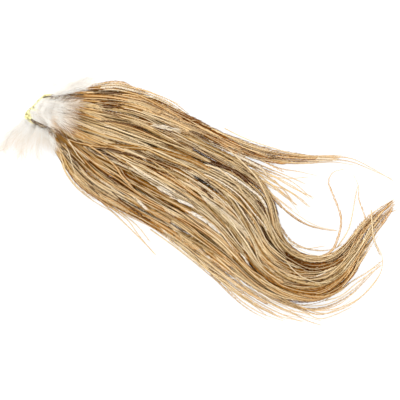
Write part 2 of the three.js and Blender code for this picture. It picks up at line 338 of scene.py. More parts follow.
def swayed(plan, sway, chances):
    """The same line with slow waves to both sides, the long ones wide and the short ones slight."""
    along = np.arange(len(plan)) * STATION
    ahead = np.gradient(plan, axis=0)
    ahead /= np.linalg.norm(ahead, axis=1)[:, None]
    side = np.stack([ahead[:, 1], -ahead[:, 0]], axis=1)
    wander = np.zeros(len(plan))
    for length in SWAY_LENGTHS:
        phase = chances.uniform(0, 2 * math.pi)
        reach = sway * smooth(*FREE_OF_ROOT, along) * (length / SWAY_LENGTHS[0]) ** SWAY_FADING
        wander = wander + reach * np.sin(2 * math.pi * along / length + phase)
    return plan + side * wander[:, None]


def lying_height(plan, across, layer, root_distance, chances):
    """How high a feather lies: on the skin, over the layers below it, and on down to the table."""
    along = np.arange(len(plan)) * STATION
    distance = np.linalg.norm(plan, axis=1)
    climbed = smooth(0, max(ROOT_DISTANCES[0] - root_distance, 1), along) if layer > 0 else 1
    on_skin = (SKIN_THICKNESS + LYING_GAP) * (1 - smooth(*SKIN_REACH, distance))
    wave = 2 * math.pi * along / BOB_LENGTH + chances.uniform(0, 2 * math.pi)
    bob = BOB_HEIGHT * smooth(*FREE_OF_ROOT, along) * np.sin(wave)
    return on_skin + climbed * layer * layer_pitch(across, distance) + bob * min(layer, 1)


LANE_STEPS = 16
STEPS_TO_A_KNOT = 12


def laid_line(sheet_name, lane, layer, end, sway, order, tail=(), drift=0.0, settled=SETTLED_AT):
    """Where a feather's quill runs: places in mm from its root in the skin to its tip."""
    chances = np.random.default_rng(1000 + order)
    clear = share_at(sheet_name, ROOT_DISTANCES[0])
    root_distance = np.interp(layer, range(len(ROOT_DISTANCES)), ROOT_DISTANCES)
    shares = mix(clear, end, np.arange(LANE_STEPS + 1) / LANE_STEPS)
    lanes = lanes_along(sheet_name, lane, layer, shares, drift, settled)
    in_lane = lane_places(sheet_name, lanes, shares)
    knots = np.vstack([in_lane, np.array(tail, float).reshape(-1, 2)])
    plan = line_through(knots, np.linspace(0, 1, STEPS_TO_A_KNOT * len(knots)))
    if layer > 0:
        root_share = np.array([share_at(sheet_name, root_distance)])
        plan = np.vstack([lane_places(sheet_name, np.full(1, lane), root_share), plan])
    plan = swayed(evenly(plan, STATION), sway, chances)
    across = mix(*SHEETS[sheet_name][2], lane / SHEETS[sheet_name][1])
    return np.column_stack([plan, lying_height(plan, across, layer, root_distance, chances)])


# One hackle
# A long narrow feather: a pale springy quill that tapers all its length, and close rows of barbs
# swept forward on each side of it, folded down a little like a roof.

# radius of the quill at its root and at its tip
QUILL_RADIUS = (0.44, 0.13)
QUILL_TAPER = 0.8
QUILL_LIFT = 0.55
QUILL_SIDES = 4
QUILL_STEPS = 3
COARSE_QUILL_STEPS = 5
# the bare stretch at the root, the distance from barb to barb, and how barbs differ
BARB_START = 5.0
BARB_SPACING = 1.3
COARSE_SPACING = 1.8
BARB_ANGLE = math.radians(19)
BARB_ANGLES = (0.88, 1.15)
BARB_REACHES = (0.82, 1.1)
BARB_UNEVENNESS = 0.2
STRAY_BARBS = 0.03
STRAY_ANGLE = 1.5
# the blade of a barb: half its width, less on a short one, its ridge, and where it is widest
BARB_HALF_WIDTH = 0.27
SHORT_BARB_WIDTH = 0.4
FULL_BARB_GROWTH = 1.6
BARB_RISE = 0.14
BARB_WIDEST = 0.45
BARB_BULGE = 0.1
BARB_SHADE = 0.09
VANE_SHADE = 0.09
# the vane: where it opens and closes, and how narrow it is at the root and at a point
LEAST_VANE = 0.35
VANE_OPENS_AT = 6.0
VANE_OPEN_SHARE = 0.3
VANE_CLOSES = (0.6, 1.06)
ROOT_VANE = 0.45
POINT_VANE = 0.2
POINTED_SHARE = 0.08
RISING_POINT_SHARE = 0.12
# how far the two vanes fold down and the feather rolls, in degrees, and the waves of both
FOLDS = (20, 55)
MOST_ROLL = 28
ROLL_LENGTH = 70
FOLD_WAVE = 0.25
ROLL_WAVE = 0.4
FULL_ROLL_HEIGHT = 3
ROOM_UNDER_VANE = 0.3
# the least height over the table, a little more for what isn't pressed down, so no blade is flat
FLOOR_CLEARANCE = 0.05
FLOOR_STEP = 0.02
UP = np.array([0.0, 0.0, 1.0])


def directions(line):
    """The direction ahead, to the side and over the vanes at each place of a line."""
    ahead = np.gradient(line, axis=0)
    ahead /= np.linalg.norm(ahead, axis=1)[:, None]
    side = np.cross(ahead, UP)
    side /= np.linalg.norm(side, axis=1)[:, None]
    over = np.cross(side, ahead)
    return ahead, side, over


def place_on(line, frames, fold, roll, steps, across, rise):
    """Places from steps along the quill, distances across the vane and rises above it."""
    ahead, side, over = frames
    last = len(line) - 1
    low = np.clip(np.floor(steps).astype(int), 0, last - 1)
    part = np.clip(steps - low, 0, 1)[..., None]
    at = [mix(values[low], values[low + 1], part) for values in (line, side, over)]
    turned = mix(roll[low], roll[low + 1], part[..., 0])
    folded = mix(fold[low], fold[low + 1], part[..., 0])
    beyond = np.maximum(steps - last, 0)[..., None] * STATION * ahead[-1]
    sideways = across * np.cos(folded) + rise * np.sin(folded) * np.sign(across)
    upwards = rise * np.cos(folded) - np.abs(across) * np.sin(folded)
    turn_cos = np.cos(turned)
    turn_sin = np.sin(turned)
    return (
        at[0]
        + beyond
        + (sideways * turn_cos - upwards * turn_sin)[..., None] * at[1]
        + (sideways * turn_sin + upwards * turn_cos)[..., None] * at[2]
    )


def quill_arrays(line, frames, start_radius, end_radius, every=QUILL_STEPS):
    """A tapered tube along the line, closed at both ends."""
    picked = np.unique(np.append(np.arange(0, len(line), every), len(line) - 1))
    share = picked / (len(line) - 1)
    radius = mix(start_radius, end_radius, share**QUILL_TAPER)
    turns = 2 * math.pi * np.arange(QUILL_SIDES) / QUILL_SIDES
    _, side, over = frames
    rings = (
        line[picked][:, None]
        + radius[:, None, None] * np.cos(turns)[None, :, None] * side[picked][:, None]
        + radius[:, None, None] * np.sin(turns)[None, :, None] * over[picked][:, None]
    )
    points = np.vstack([rings.reshape(-1, 3), line[0], line[-1]])
    ring = np.arange(len(picked) - 1)[:, None] * QUILL_SIDES
    here = np.arange(QUILL_SIDES)[None, :]
    following = (here + 1) % QUILL_SIDES
    a, b = ring + here, ring + following
    c, d = b + QUILL_SIDES, a + QUILL_SIDES
    walls = np.concatenate([np.stack([a, b, c], -1), np.stack([a, c, d], -1)]).reshape(-1, 3)
    final = (len(picked) - 1) * QUILL_SIDES
    root_cap = [(following[0, i], i, len(points) - 2) for i in range(QUILL_SIDES)]
    tip_cap = [(final + i, final + following[0, i], len(points) - 1) for i in range(QUILL_SIDES)]
    along = np.append(np.repeat(share, QUILL_SIDES), [0, 1])
    return points, np.vstack([walls, root_cap, tip_cap]), along, np.zeros(len(points))


BARB_FACES = np.array([(0, 1, 3), (0, 3, 2), (1, 4, 3), (3, 4, 2), (0, 2, 1), (1, 2, 4)])
BARB_POINTS = 5
BARB_TIP_SHARES = [0.15, 0.5, 0.5, 0.5, 1.0]


def barb_roots(line, spacing, chances):
    """Where barbs stand along the quill, in stations: one side's, and the other's in between."""
    roots = np.arange(BARB_START / STATION, len(line) - 1.5, spacing / STATION)
    sign = np.repeat([1.0, -1.0], len(roots))
    roots = np.concatenate([roots, roots + 0.5 * spacing / STATION])
    uneven = chances.uniform(-BARB_UNEVENNESS, BARB_UNEVENNESS, len(roots))
    return roots + uneven * spacing / STATION, sign


def barb_corners(roots, reach, angle, sign):
    """The corners of each blade: steps along the quill, distances across the vane and rises."""
    length = reach / np.tan(angle) / STATION
    forward = np.stack([length * STATION, sign * reach], -1)
    forward /= np.linalg.norm(forward, axis=1)[:, None]
    half = BARB_HALF_WIDTH * np.minimum(1, SHORT_BARB_WIDTH + reach / FULL_BARB_GROWTH)
    middle_step = roots + BARB_WIDEST * length
    middle_across = sign * reach * (BARB_WIDEST + BARB_BULGE)
    level = np.zeros(len(roots))
    steps = np.stack([
        roots,
        middle_step - half * forward[:, 1] / STATION,
        middle_step + half * forward[:, 1] / STATION,
        middle_step,
        roots + length,
    ], 1)
    across = np.stack([
        level,
        middle_across + half * forward[:, 0],
        middle_across - half * forward[:, 0],
        middle_across,
        sign * reach,
    ], 1)
    rises = np.stack([level, level, level, level + BARB_RISE, level], 1)
    return steps, across, rises


def barb_arrays(line, frames, half_vane, fold, roll, chances, spacing):
    """Rows of closed narrow blades on both sides of the quill, swept towards the tip."""
    roots, sign = barb_roots(line, spacing, chances)
    count = len(roots)
    reach = np.interp(roots, np.arange(len(line)), half_vane)
    reach = reach * chances.uniform(*BARB_REACHES, count)
    stray = chances.random(count) < STRAY_BARBS
    angle = BARB_ANGLE * chances.uniform(*BARB_ANGLES, count) * np.where(stray, STRAY_ANGLE, 1)
    places = place_on(line, frames, fold, roll, *barb_corners(roots, reach, angle, sign))
    faces = (np.arange(count)[:, None, None] * BARB_POINTS + BARB_FACES[None]).reshape(-1, 3)
    along = np.repeat(np.clip(roots / (len(line) - 1), 0, 1), BARB_POINTS)
    tip_share = np.tile(BARB_TIP_SHARES, count)
    shade = chances.normal(0, BARB_SHADE, count)
    shade = shade + chances.uniform(-VANE_SHADE, VANE_SHADE) * sign
    return places.reshape(-1, 3), faces, along, tip_share, np.repeat(shade, BARB_POINTS)


def vane_widths(line, half_vane, least_vane, leaves, rises):
    """Half the width of the vanes all along: they open from the root and close to a point."""
    total = (len(line) - 1) * STATION
    share = np.linspace(0, 1, len(line))
    closes_from, closes_to = VANE_CLOSES
    opening = smooth(VANE_OPENS_AT / total, VANE_OPEN_SHARE, share)
    closing = 1 - smooth(closes_from * leaves, closes_to * leaves, share)
    vane = least_vane + (half_vane - least_vane) * mix(ROOT_VANE, 1, opening) * closing
    vane = vane * mix(POINT_VANE, 1, smooth(0, POINTED_SHARE, 1 - share))
    if rises:
        vane = vane * mix(POINT_VANE, 1, smooth(0, RISING_POINT_SHARE, share))
    return vane


def fold_and_roll(line, vane, flatness, chances):
    """How far the vanes fold down like a roof, and how far the feather rolls to one side."""
    phase = chances.uniform(0, 6.3)
    wave = np.sin(2 * math.pi * np.arange(len(line)) * STATION / ROLL_LENGTH + phase)
    fold = np.radians(chances.uniform(*FOLDS)) * (1 + FOLD_WAVE * wave) * (1 - flatness)
    room_below = np.clip((line[:, 2] - ROOM_UNDER_VANE) / np.maximum(vane, 0.1), 0.02, 0.9)
    fold = np.minimum(fold, np.arcsin(room_below))
    roll = np.radians(chances.uniform(-MOST_ROLL, MOST_ROLL))
    roll = roll * (1 - ROLL_WAVE * wave) * (1 - flatness)
    return fold, roll * np.clip(line[:, 2] / FULL_ROLL_HEIGHT, 0, 1)


def hackle_arrays(
    line, order, half_vane, leaves=1.0, spacing=BARB_SPACING, slender=1.0, least_vane=LEAST_VANE,
    tip_darker=0.0, flatness=0.0, uneven=1.0, starts_at=0.0,
):
    """One whole feather: points, triangles, shares along the quill and out along a barb, shade.

    The vane closes at the share leaves of its length. A small slender thins the quill, flatness
    opens the roof of the vanes, and uneven is how much the barbs differ in shade. The colours are
    those of a whole feather from the share starts_at on.
    """
    chances = np.random.default_rng(5000 + order)
    line = line + np.array([0, 0, QUILL_LIFT])
    frames = directions(line)
    vane = vane_widths(line, half_vane, least_vane, leaves, rises=starts_at > 0)
    fold, roll = fold_and_roll(line, vane, flatness, chances)
    every = QUILL_STEPS if spacing < COARSE_SPACING else COARSE_QUILL_STEPS
    quill_points, quill_faces, quill_along, quill_out = quill_arrays(
        line, frames, QUILL_RADIUS[0] * slender, QUILL_RADIUS[1], every
    )
    barb_points, barb_faces, barb_along, barb_out, barb_shade = barb_arrays(
        line, frames, vane, fold, roll, chances, spacing
    )
    points = np.vstack([quill_points, barb_points])
    floor = FLOOR_CLEARANCE + FLOOR_STEP * (points[:, 2] > 0)
    points[:, 2] = np.maximum(points[:, 2], floor)
    faces = np.vstack([quill_faces, barb_faces + len(quill_points)])
    along = np.append(quill_along, barb_along)
    out = np.append(quill_out, barb_out)
    shade = np.append(np.zeros(len(quill_points)), barb_shade * uneven) - tip_darker * along**2
    return points, faces, mix(starts_at, 1, along), out, shade


def new_mesh(name, points, faces):
    """A mesh of triangles, from places in mm."""
    mesh = bpy.data.meshes.new(name)
    mesh.vertices.add(len(points))
    mesh.vertices.foreach_set("co", (points * MM).astype(np.float32).ravel())
    mesh.loops.add(faces.size)
    mesh.loops.foreach_set("vertex_index", faces.astype(np.int32).ravel())
    mesh.polygons.add(len(faces))
    mesh.polygons.foreach_set("loop_start", np.arange(0, faces.size, 3, dtype=np.int32))
    mesh.update(calc_edges=True)
    return mesh


def joined_piece(name, parts, material, smoothed=True):
    """One mesh from several sets of arrays. Each set brings its own tone and warmth."""
    points, faces, along, out, tone, warmth = [], [], [], [], [], []
    count = 0
    for part_points, part_faces, part_along, part_out, part_shade, part_tone, part_warmth in parts:
        points.append(part_points)
        faces.append(part_faces + count)
        along.append(part_along)
        out.append(part_out)
        tone.append(part_tone + part_shade + np.zeros(len(part_points)))
        warmth.append(part_warmth + np.zeros(len(part_points)))
        count += len(part_points)
    mesh = new_mesh(name, np.vstack(points), np.vstack(faces))
    for attribute, values in (("along", along), ("out", out), ("tone", tone), ("warmth", warmth)):
        layer = mesh.attributes.new(attribute, "FLOAT", "POINT")
        layer.data.foreach_set("value", np.concatenate(values).astype(np.float32))
    if smoothed:
        mesh.shade_smooth()
    mesh.materials.append(material)
    piece = bpy.data.objects.new(name, mesh)
    scene.collection.objects.link(piece)
    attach(piece, "root")
    return piece


# The look of a hackle
# The quill is pale straw. The barbs run from cream through honey to ginger brown, with painted shade
# darkening their ends so that dark lines show between the feathers, and a soft gloss like hair.
GOLDEN_TONES = [
    (0.0, (0.065, 0.017, 0.002)),
    (0.3, (0.185, 0.070, 0.008)),
    (0.55, (0.335, 0.157, 0.024)),
    (0.8, (0.510, 0.305, 0.095)),
    (1.0, (0.755, 0.570, 0.320)),
]
GREY_TONES = [
    (0.0, (0.070, 0.025, 0.004)),
    (0.3, (0.195, 0.105, 0.030)),
    (0.55, (0.360, 0.240, 0.104)),
    (0.8, (0.550, 0.425, 0.245)),
    (1.0, (0.800, 0.705, 0.545)),
]
ORANGE_TONES = [
    (0.0, (0.090, 0.021, 0.002)),
    (0.3, (0.240, 0.078, 0.008)),
    (0.55, (0.385, 0.150, 0.024)),
    (0.8, (0.535, 0.260, 0.064)),
    (1.0, (0.715, 0.440, 0.190)),
]
WEB_WHITE = (0.97, 0.94, 0.88, 1)
QUILL_TONES = [
    (0.0, (0.12, 0.06, 0.02)),
    (0.1, (0.18, 0.09, 0.03)),
    (0.2, (0.50, 0.34, 0.15)),
    (0.4, (0.76, 0.60, 0.36)),
]

# painted shade: barbs darken towards their ends, standing for the dark gaps between feathers
BARB_END_SHADE = [(0.3, (1, 1, 1)), (1.0, (0.32, 0.18, 0.08))]
QUILL_TO_BARB = [(0.0, (0, 0, 0)), (0.08, (1, 1, 1))]
# patches and specks: how many to the metre, and how strong
PATCHES = (60, 0.55)
SPECKS = (700, 0.35)
# the last part of a feather is paler and warmer, and the part near the root darker and warmer
TIP_PALER = 0.62
TIP_PALER_POWER = 6.0
TIP_WARMER = 0.88
TIP_WARMER_POWER = 3.0
ROOT_SHARE = 0.36
ROOT_DARKER = 0.8
ROOT_WARMER = 0.5
# how far a quill takes on the colour of its barbs, and how much more on a dark feather
QUILL_LIKE_BARBS = 0.45
DARK_QUILL_LIKE_BARBS = 1.1


def new_look(name):
    """A new material with its nodes, its links and its main shader."""
    look = bpy.data.materials.new(name)
    look.use_nodes = True
    tree = look.node_tree
    return look, tree.nodes, tree.links, tree.nodes["Principled BSDF"]


hackle_look, nodes, links, shader = new_look("ginger hackle")
shader.inputs["Roughness"].default_value = 0.42
shader.inputs["Specular IOR Level"].default_value = 0.02


def read_attribute(name):
    node = nodes.new("ShaderNodeAttribute")
    node.attribute_name = name
    return node.outputs["Fac"]


def arithmetic(operation, first, second):
    node = nodes.new("ShaderNodeMath")
    node.operation = operation
    for socket, value in zip(node.inputs, (first, second)):
        if isinstance(value, (int, float)):
            socket.default_value = value
        else:
            links.new(value, socket)
    return node.outputs[0]


def blended(factor, first, second, kind="MIX"):
    node = nodes.new("ShaderNodeMix")
    node.data_type = "RGBA"
    node.blend_type = kind
    # of a mix node's inputs, 0 is the factor, and 6 and 7 are the two colours
    for place, value in ((0, factor), (6, first), (7, second)):
        socket = node.inputs[place]
        if isinstance(value, (int, float, tuple)):
            socket.default_value = value
        else:
            links.new(value, socket)
    return node.outputs[2]


def mottle(scale, detail=3.0):
    """An uneven pattern in the object's own space, with its scale in patches to the metre."""
    place = nodes.new("ShaderNodeTexCoord")
    node = nodes.new("ShaderNodeTexNoise")
    node.inputs["Scale"].default_value = scale
    node.inputs["Detail"].default_value = detail
    links.new(place.outputs["Object"], node.inputs["Vector"])
    return node.outputs["Fac"]


def ramp(factor, stops):
    node = nodes.new("ShaderNodeValToRGB")
    while len(node.color_ramp.elements) < len(stops):
        node.color_ramp.elements.new(0.5)
    for element, (position, colour) in zip(node.color_ramp.elements, stops):
        element.position = position
        element.color = (*colour[:3], 1)
    links.new(factor, node.inputs["Fac"])
    return node.outputs["Color"]


def uneven_by(scale, strength):
    """Lighter and darker places round an even tone."""
    return arithmetic("MULTIPLY", arithmetic("SUBTRACT", mottle(scale), 0.5), strength)


def towards_tip(power, strength):
    """A change that comes up only in the last part of a feather."""
    return arithmetic("MULTIPLY", arithmetic("POWER", read_attribute("along"), power), strength)


toned = arithmetic("ADD", read_attribute("tone"), uneven_by(*PATCHES))
toned = arithmetic("ADD", toned, uneven_by(*SPECKS))
toned = arithmetic("ADD", toned, towards_tip(TIP_PALER_POWER, TIP_PALER))
near_root = arithmetic("SUBTRACT", ROOT_SHARE, read_attribute("along"))
near_root = arithmetic("MAXIMUM", near_root, 0.0)
toned = arithmetic("SUBTRACT", toned, arithmetic("MULTIPLY", near_root, ROOT_DARKER))

warmth = read_attribute("warmth")
root_warmth = arithmetic("MULTIPLY", near_root, ROOT_WARMER)
tip_warmth = towards_tip(TIP_WARMER_POWER, TIP_WARMER)
warmer = arithmetic("ADD", warmth, arithmetic("ADD", root_warmth, tip_warmth))
greyer = arithmetic("MULTIPLY", warmer, -1.0)
whiter = arithmetic("SUBTRACT", arithmetic("MULTIPLY", warmth, -1.0), 1.0)
barb_colour = blended(greyer, ramp(toned, GOLDEN_TONES), ramp(toned, GREY_TONES))
barb_colour = blended(whiter, barb_colour, WEB_WHITE)
barb_colour = blended(warmer, barb_colour, ramp(toned, ORANGE_TONES))

darkness = arithmetic("MULTIPLY", read_attribute("tone"), -1.0)
darkness = arithmetic("MAXIMUM", darkness, 0.0)
like_its_barbs = arithmetic("MULTIPLY", darkness, DARK_QUILL_LIKE_BARBS)
like_its_barbs = arithmetic("ADD", like_its_barbs, QUILL_LIKE_BARBS)
quill_colour = blended(like_its_barbs, ramp(read_attribute("along"), QUILL_TONES), barb_colour)

out_from_quill = read_attribute("out")
# painted shade at the barb ends, for the gaps between feathers
barb_colour = blended(1.0, barb_colour, ramp(out_from_quill, BARB_END_SHADE), "MULTIPLY")
is_barb = ramp(out_from_quill, QUILL_TO_BARB)
links.new(blended(is_barb, quill_colour, barb_colour), shader.inputs["Base Color"])


# The saddle hackles of the frame
# The fifty-one feathers that give the bundle its form, from the wisp at the upper side to the
# loose ones at the lower edge. Each takes the place of its plain solid.
BAY_TAIL = [
    (125, -43), (135, -57), (141, -69), (149, -80), (160, -85), (173, -85), (181, -81),
]
ARCH_LEFT_TAIL = [
    (153, -89), (165, -91), (174, -86), (179, -75), (180, -65), (175, -51), (172, -42), (175, -36),
    (182, -34),
]
ARCH_RIGHT_TAIL = [(195, -68), (194, -62), (191, -53), (191, -45), (188, -38)]
CURL_TAIL = [
    (146, -117), (163, -123), (180, -121), (195, -112), (205, -99), (206, -89), (202, -80),
    (200, -72), (199, -63),
]
FEATHERS = [
    # sheet, lane, layer, how far it follows its sheet, and the places in mm that it goes on to
    ("wisp", 0, 0, 0.99),
    ("wisp", 1, 0, 0.9),
    ("wisp", 0.5, 1, 1),
    ("wisp", 1.5, 1, 0.62, [(142, -33.5), (154, -35.5), (165, -38)]),
    ("wisp", 0, 2, 0.85),
    ("wisp", 1, 2, 0.78),
    ("wisp", 0.4, 3, 0.7),
    ("brow", 0, 1, 1),
    ("wisp", -0.35, 3, 0.36),
    ("fringe", 0, 0, 1),
    ("fringe", 0, 2, 0.66, [(125, -33), (136, -40), (144, -47), (150, -54)]),
    ("fringe", 0, 3, 0.5, [(108, -29.5), (122, -38), (137, -50), (151, -62), (164, -70), (177, -73)]),
    ("hook", -0.5, 1, 0.36, [(104, -30), (119, -37), (135, -44), (147, -53), (154, -62)]),
    ("hook", 0, 0, 0.93),
    ("hook", 1, 0, 1),
    ("hook", 2, 0, 0.9),
    ("hook", 3, 0, 1),
    ("hook", 4, 0, 0.87),
    ("hook", 5, 0, 0.95),
    ("hook", 6, 0, 0.83),
    ("hook", -0.85, 0, 0.43, BAY_TAIL),
    ("hook", 0.5, 1, 0.97),
    ("hook", 1.5, 1, 0.85),
    ("hook", 2.5, 1, 1),
    ("hook", 3.5, 1, 0.93),
    ("hook", 4.5, 1, 0.88),
    ("hook", 5.5, 1, 0.98),
    ("hook", 0, 2, 0.9),
    ("hook", 1, 2, 0.99),
    ("hook", 2, 2, 0.83),
    ("hook", 3, 2, 0.95),
    ("hook", 4, 2, 0.91),
    ("hook", 5, 2, 0.86),
    ("hook", 6, 2, 0.8),
    ("hook", 2.5, 3, 0.72),
    ("hook", 4.5, 3, 0.8),
    ("hook", 0.4, 3, 0.66, ARCH_LEFT_TAIL),
    ("hook", 1.3, 3, 0.86, ARCH_RIGHT_TAIL),
    ("hook", 7, 0, 0.62, [(147, -119), (166, -122), (184, -115), (198, -102), (205, -94)]),
    ("hook", 6.5, 1, 0.7, [(171, -115), (184, -107), (194, -101), (204, -95)]),
    ("hook", 7, 2, 0.58, [(146, -118), (163, -123), (178, -120), (190, -111)]),
    ("hook", 6.5, 3, 0.6, CURL_TAIL),
    ("edge", 0, 0, 0.97),
    ("edge", 1, 0, 0.62, [(109, -111), (122, -122), (134, -129)]),
    ("edge", -0.4, 1, 0.93, [(166, -125.5), (177, -123), (187, -117)]),
    ("edge", 0.4, 1, 1),
    ("edge", 1.05, 1, 0.33, [(50, -74), (57, -81), (64, -88)]),
    ("edge", 0, 2, 0.9),
    ("edge", 1, 2, 0.96),
    ("edge", 0.5, 3, 0.66, [(112, -113), (128, -124), (144, -129.5)]),
    ("edge", -0.4, 3, 0.8),
]
FRAME_SWAY = 0.3
# painted shade: the tone of a covered feather, darker the lower its layer lies
LAYER_SHADED_TONES = [-0.05, 0.05, 0.28, 0.53, 0.64]
LAYER_VANES = [2.6, 2.2, 1.7, 1.4]
SIDE_SHEETS = ["wisp", "fringe", "middle", "edge"]
SIDE_LEAVES = 0.85
SIDE_TIPS_PALER = {"wisp": -0.7, "fringe": -0.42, "middle": -0.42, "edge": -0.6}
# the tone of a feather that nothing covers, with no painted shade
OPEN_TONE = 0.60
TAIL_DARKER = 0.1
TAIL_LOOKS = {
    # kind: least tone, least warmth, half width of the vanes, and half of their least width
    "wisp": (0.8, 0.1, 0.8, 0.4),
    "fringe": (1.0, 0.1, 0.55, 0.4),
    "hook": (0.76, 0.15, 1.1, 0.4),
    "edge": (0.85, 0.1, 0.9, 0.4),
    "arch": (1.15, 0.5, 1.2, 0.6),
    "curl": (1.1, 0.3, 0.6, 0.3),
}
# the lane and layer of the feathers that leave the hook and look unlike its others
OUT_OF_HOOK = {(-0.5, 1): "fringe", (0.4, 3): "arch", (1.3, 3): "arch", (6.5, 3): "curl"}
HOOK_SIDES = (-0.4, 7.6)
COVERED_WITHIN = 1.6
SHEET_COVER = {
    # sheet: how far its first lane is covered, and how much more the next one
    "wisp": (0.5, 0.0),
    "brow": (0.0, 0.0),
    "fringe": (0.4, 0.0),
    "middle": (0.9, 0.0),
    "brim": (0.3, 0.3),
    "edge": (0.7, -0.5),
}


def covered(sheet_name, lane):
    """How far a feather is covered by others, from 0 at the sides of the bundle to 1 inside, which sets
    its painted shade.
    """
    if sheet_name != "hook":
        first_lane, next_lane = SHEET_COVER[sheet_name]
        return first_lane + next_lane * lane
    first_side, last_side = HOOK_SIDES
    return min(max(min(lane - first_side, last_side - lane) / COVERED_WITHIN, 0), 1)


FEATHER_KINDS = {
    # lighter or darker, and greyer or warmer
    "golden": (0.04, 0.0),
    "orange": (0.04, 0.75),
    "brown": (-0.38, 0.25),
    "grey": (0.1, -0.95),
    "cream": (0.36, -0.65),
}
KIND_SHARES = {
    # the share of each kind, in the order above
    "hook": (0.36, 0.13, 0.17, 0.20, 0.14),
    "inside": (0.24, 0.08, 0.14, 0.30, 0.24),
    "edge": (0.34, 0.14, 0.22, 0.14, 0.16),
}
KIND_SHARES["brim"] = KIND_SHARES["hook"]
SIDE_SHARES = (0.50, 0.18, 0.17, 0.07, 0.08)
INSIDE_LANES = (1.2, 5.6)
TONE_SPREAD = 0.13
WARMTH_SPREAD = 0.12
LOCKS_TO_A_LANE = 1.3
LIKE_ITS_LOCK = 0.5
# painted shade: below this layer the hook and brim get none of the paler kinds
LOWEST_PALE_LAYER = 1.5
SIDE_TONE = {"wisp": 0.16, "fringe": 0.35, "brow": 0.65, "edge": 0.32}
SIDE_WARMTH = {"wisp": 0.75, "brow": 0.35, "fringe": 0.3, "middle": 0.45, "edge": 0.1}


def feather_look(sheet_name, lane, layer, chances):
    """Tone and warmth of a feather: painted shade makes it browner deep in the bundle, and it is of one
    of a few kinds.
    """
    inside = sheet_name == "hook" and INSIDE_LANES[0] < lane < INSIDE_LANES[1]
    shares = KIND_SHARES.get("inside" if inside else sheet_name, SIDE_SHARES)
    lock_number = int(10 + lane * LOCKS_TO_A_LANE)
    lock = np.random.default_rng([len(sheet_name), lock_number, int(layer > 2)])
    picker = lock if chances.random() < LIKE_ITS_LOCK else chances
    lighter, warmer = FEATHER_KINDS[picker.choice(list(FEATHER_KINDS), p=shares)]
    # painted shade: low feathers of the hook and brim are kept from the paler kinds
    if layer < LOWEST_PALE_LAYER and sheet_name in ("hook", "brim"):
        lighter, warmer = min(lighter, 0.0), max(warmer, 0.0)
    deep = float(np.interp(layer, range(len(LAYER_SHADED_TONES)), LAYER_SHADED_TONES))
    tone = mix(OPEN_TONE, deep, covered(sheet_name, lane))
    tone += chances.uniform(-TONE_SPREAD, TONE_SPREAD)
    tone += SIDE_TONE.get(sheet_name, 0.0)
    warmer += SIDE_WARMTH.get(sheet_name, 0.0)
    return tone + lighter, warmer + chances.uniform(-WARMTH_SPREAD, WARMTH_SPREAD)


def half_vane_in(layer):
    """Half the width of a feather's vanes: the feathers of the lower layers are the broader ones."""
    return float(np.interp(layer, range(len(LAYER_VANES)), LAYER_VANES))


for number, (sheet_name, lane, layer, end, *tail) in enumerate(FEATHERS, 1):
    chances = np.random.default_rng(number)
    tail = tail[0] if tail else ()
    line = laid_line(sheet_name, lane, layer, end, FRAME_SWAY, number, tail)
    look = feather_look(sheet_name, lane, layer, chances)
    if tail:
        kind = OUT_OF_HOOK.get((lane, layer), sheet_name)
        tone, warmth, half_vane, least_vane = TAIL_LOOKS[kind]
        arrays = hackle_arrays(
            line, number, half_vane, least_vane=least_vane, tip_darker=TAIL_DARKER
        )
        look = (max(look[0], tone), max(look[1], warmth))
    elif sheet_name in SIDE_SHEETS:
        paler = SIDE_TIPS_PALER[sheet_name]
        arrays = hackle_arrays(line, number, half_vane_in(layer), SIDE_LEAVES, tip_darker=paler)
    else:
        arrays = hackle_arrays(line, number, half_vane_in(layer))
    piece = joined_piece(f"hackle_{number:02d}", [(*arrays, *look)], hackle_look)
    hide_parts(f"feather_{number:02d}")


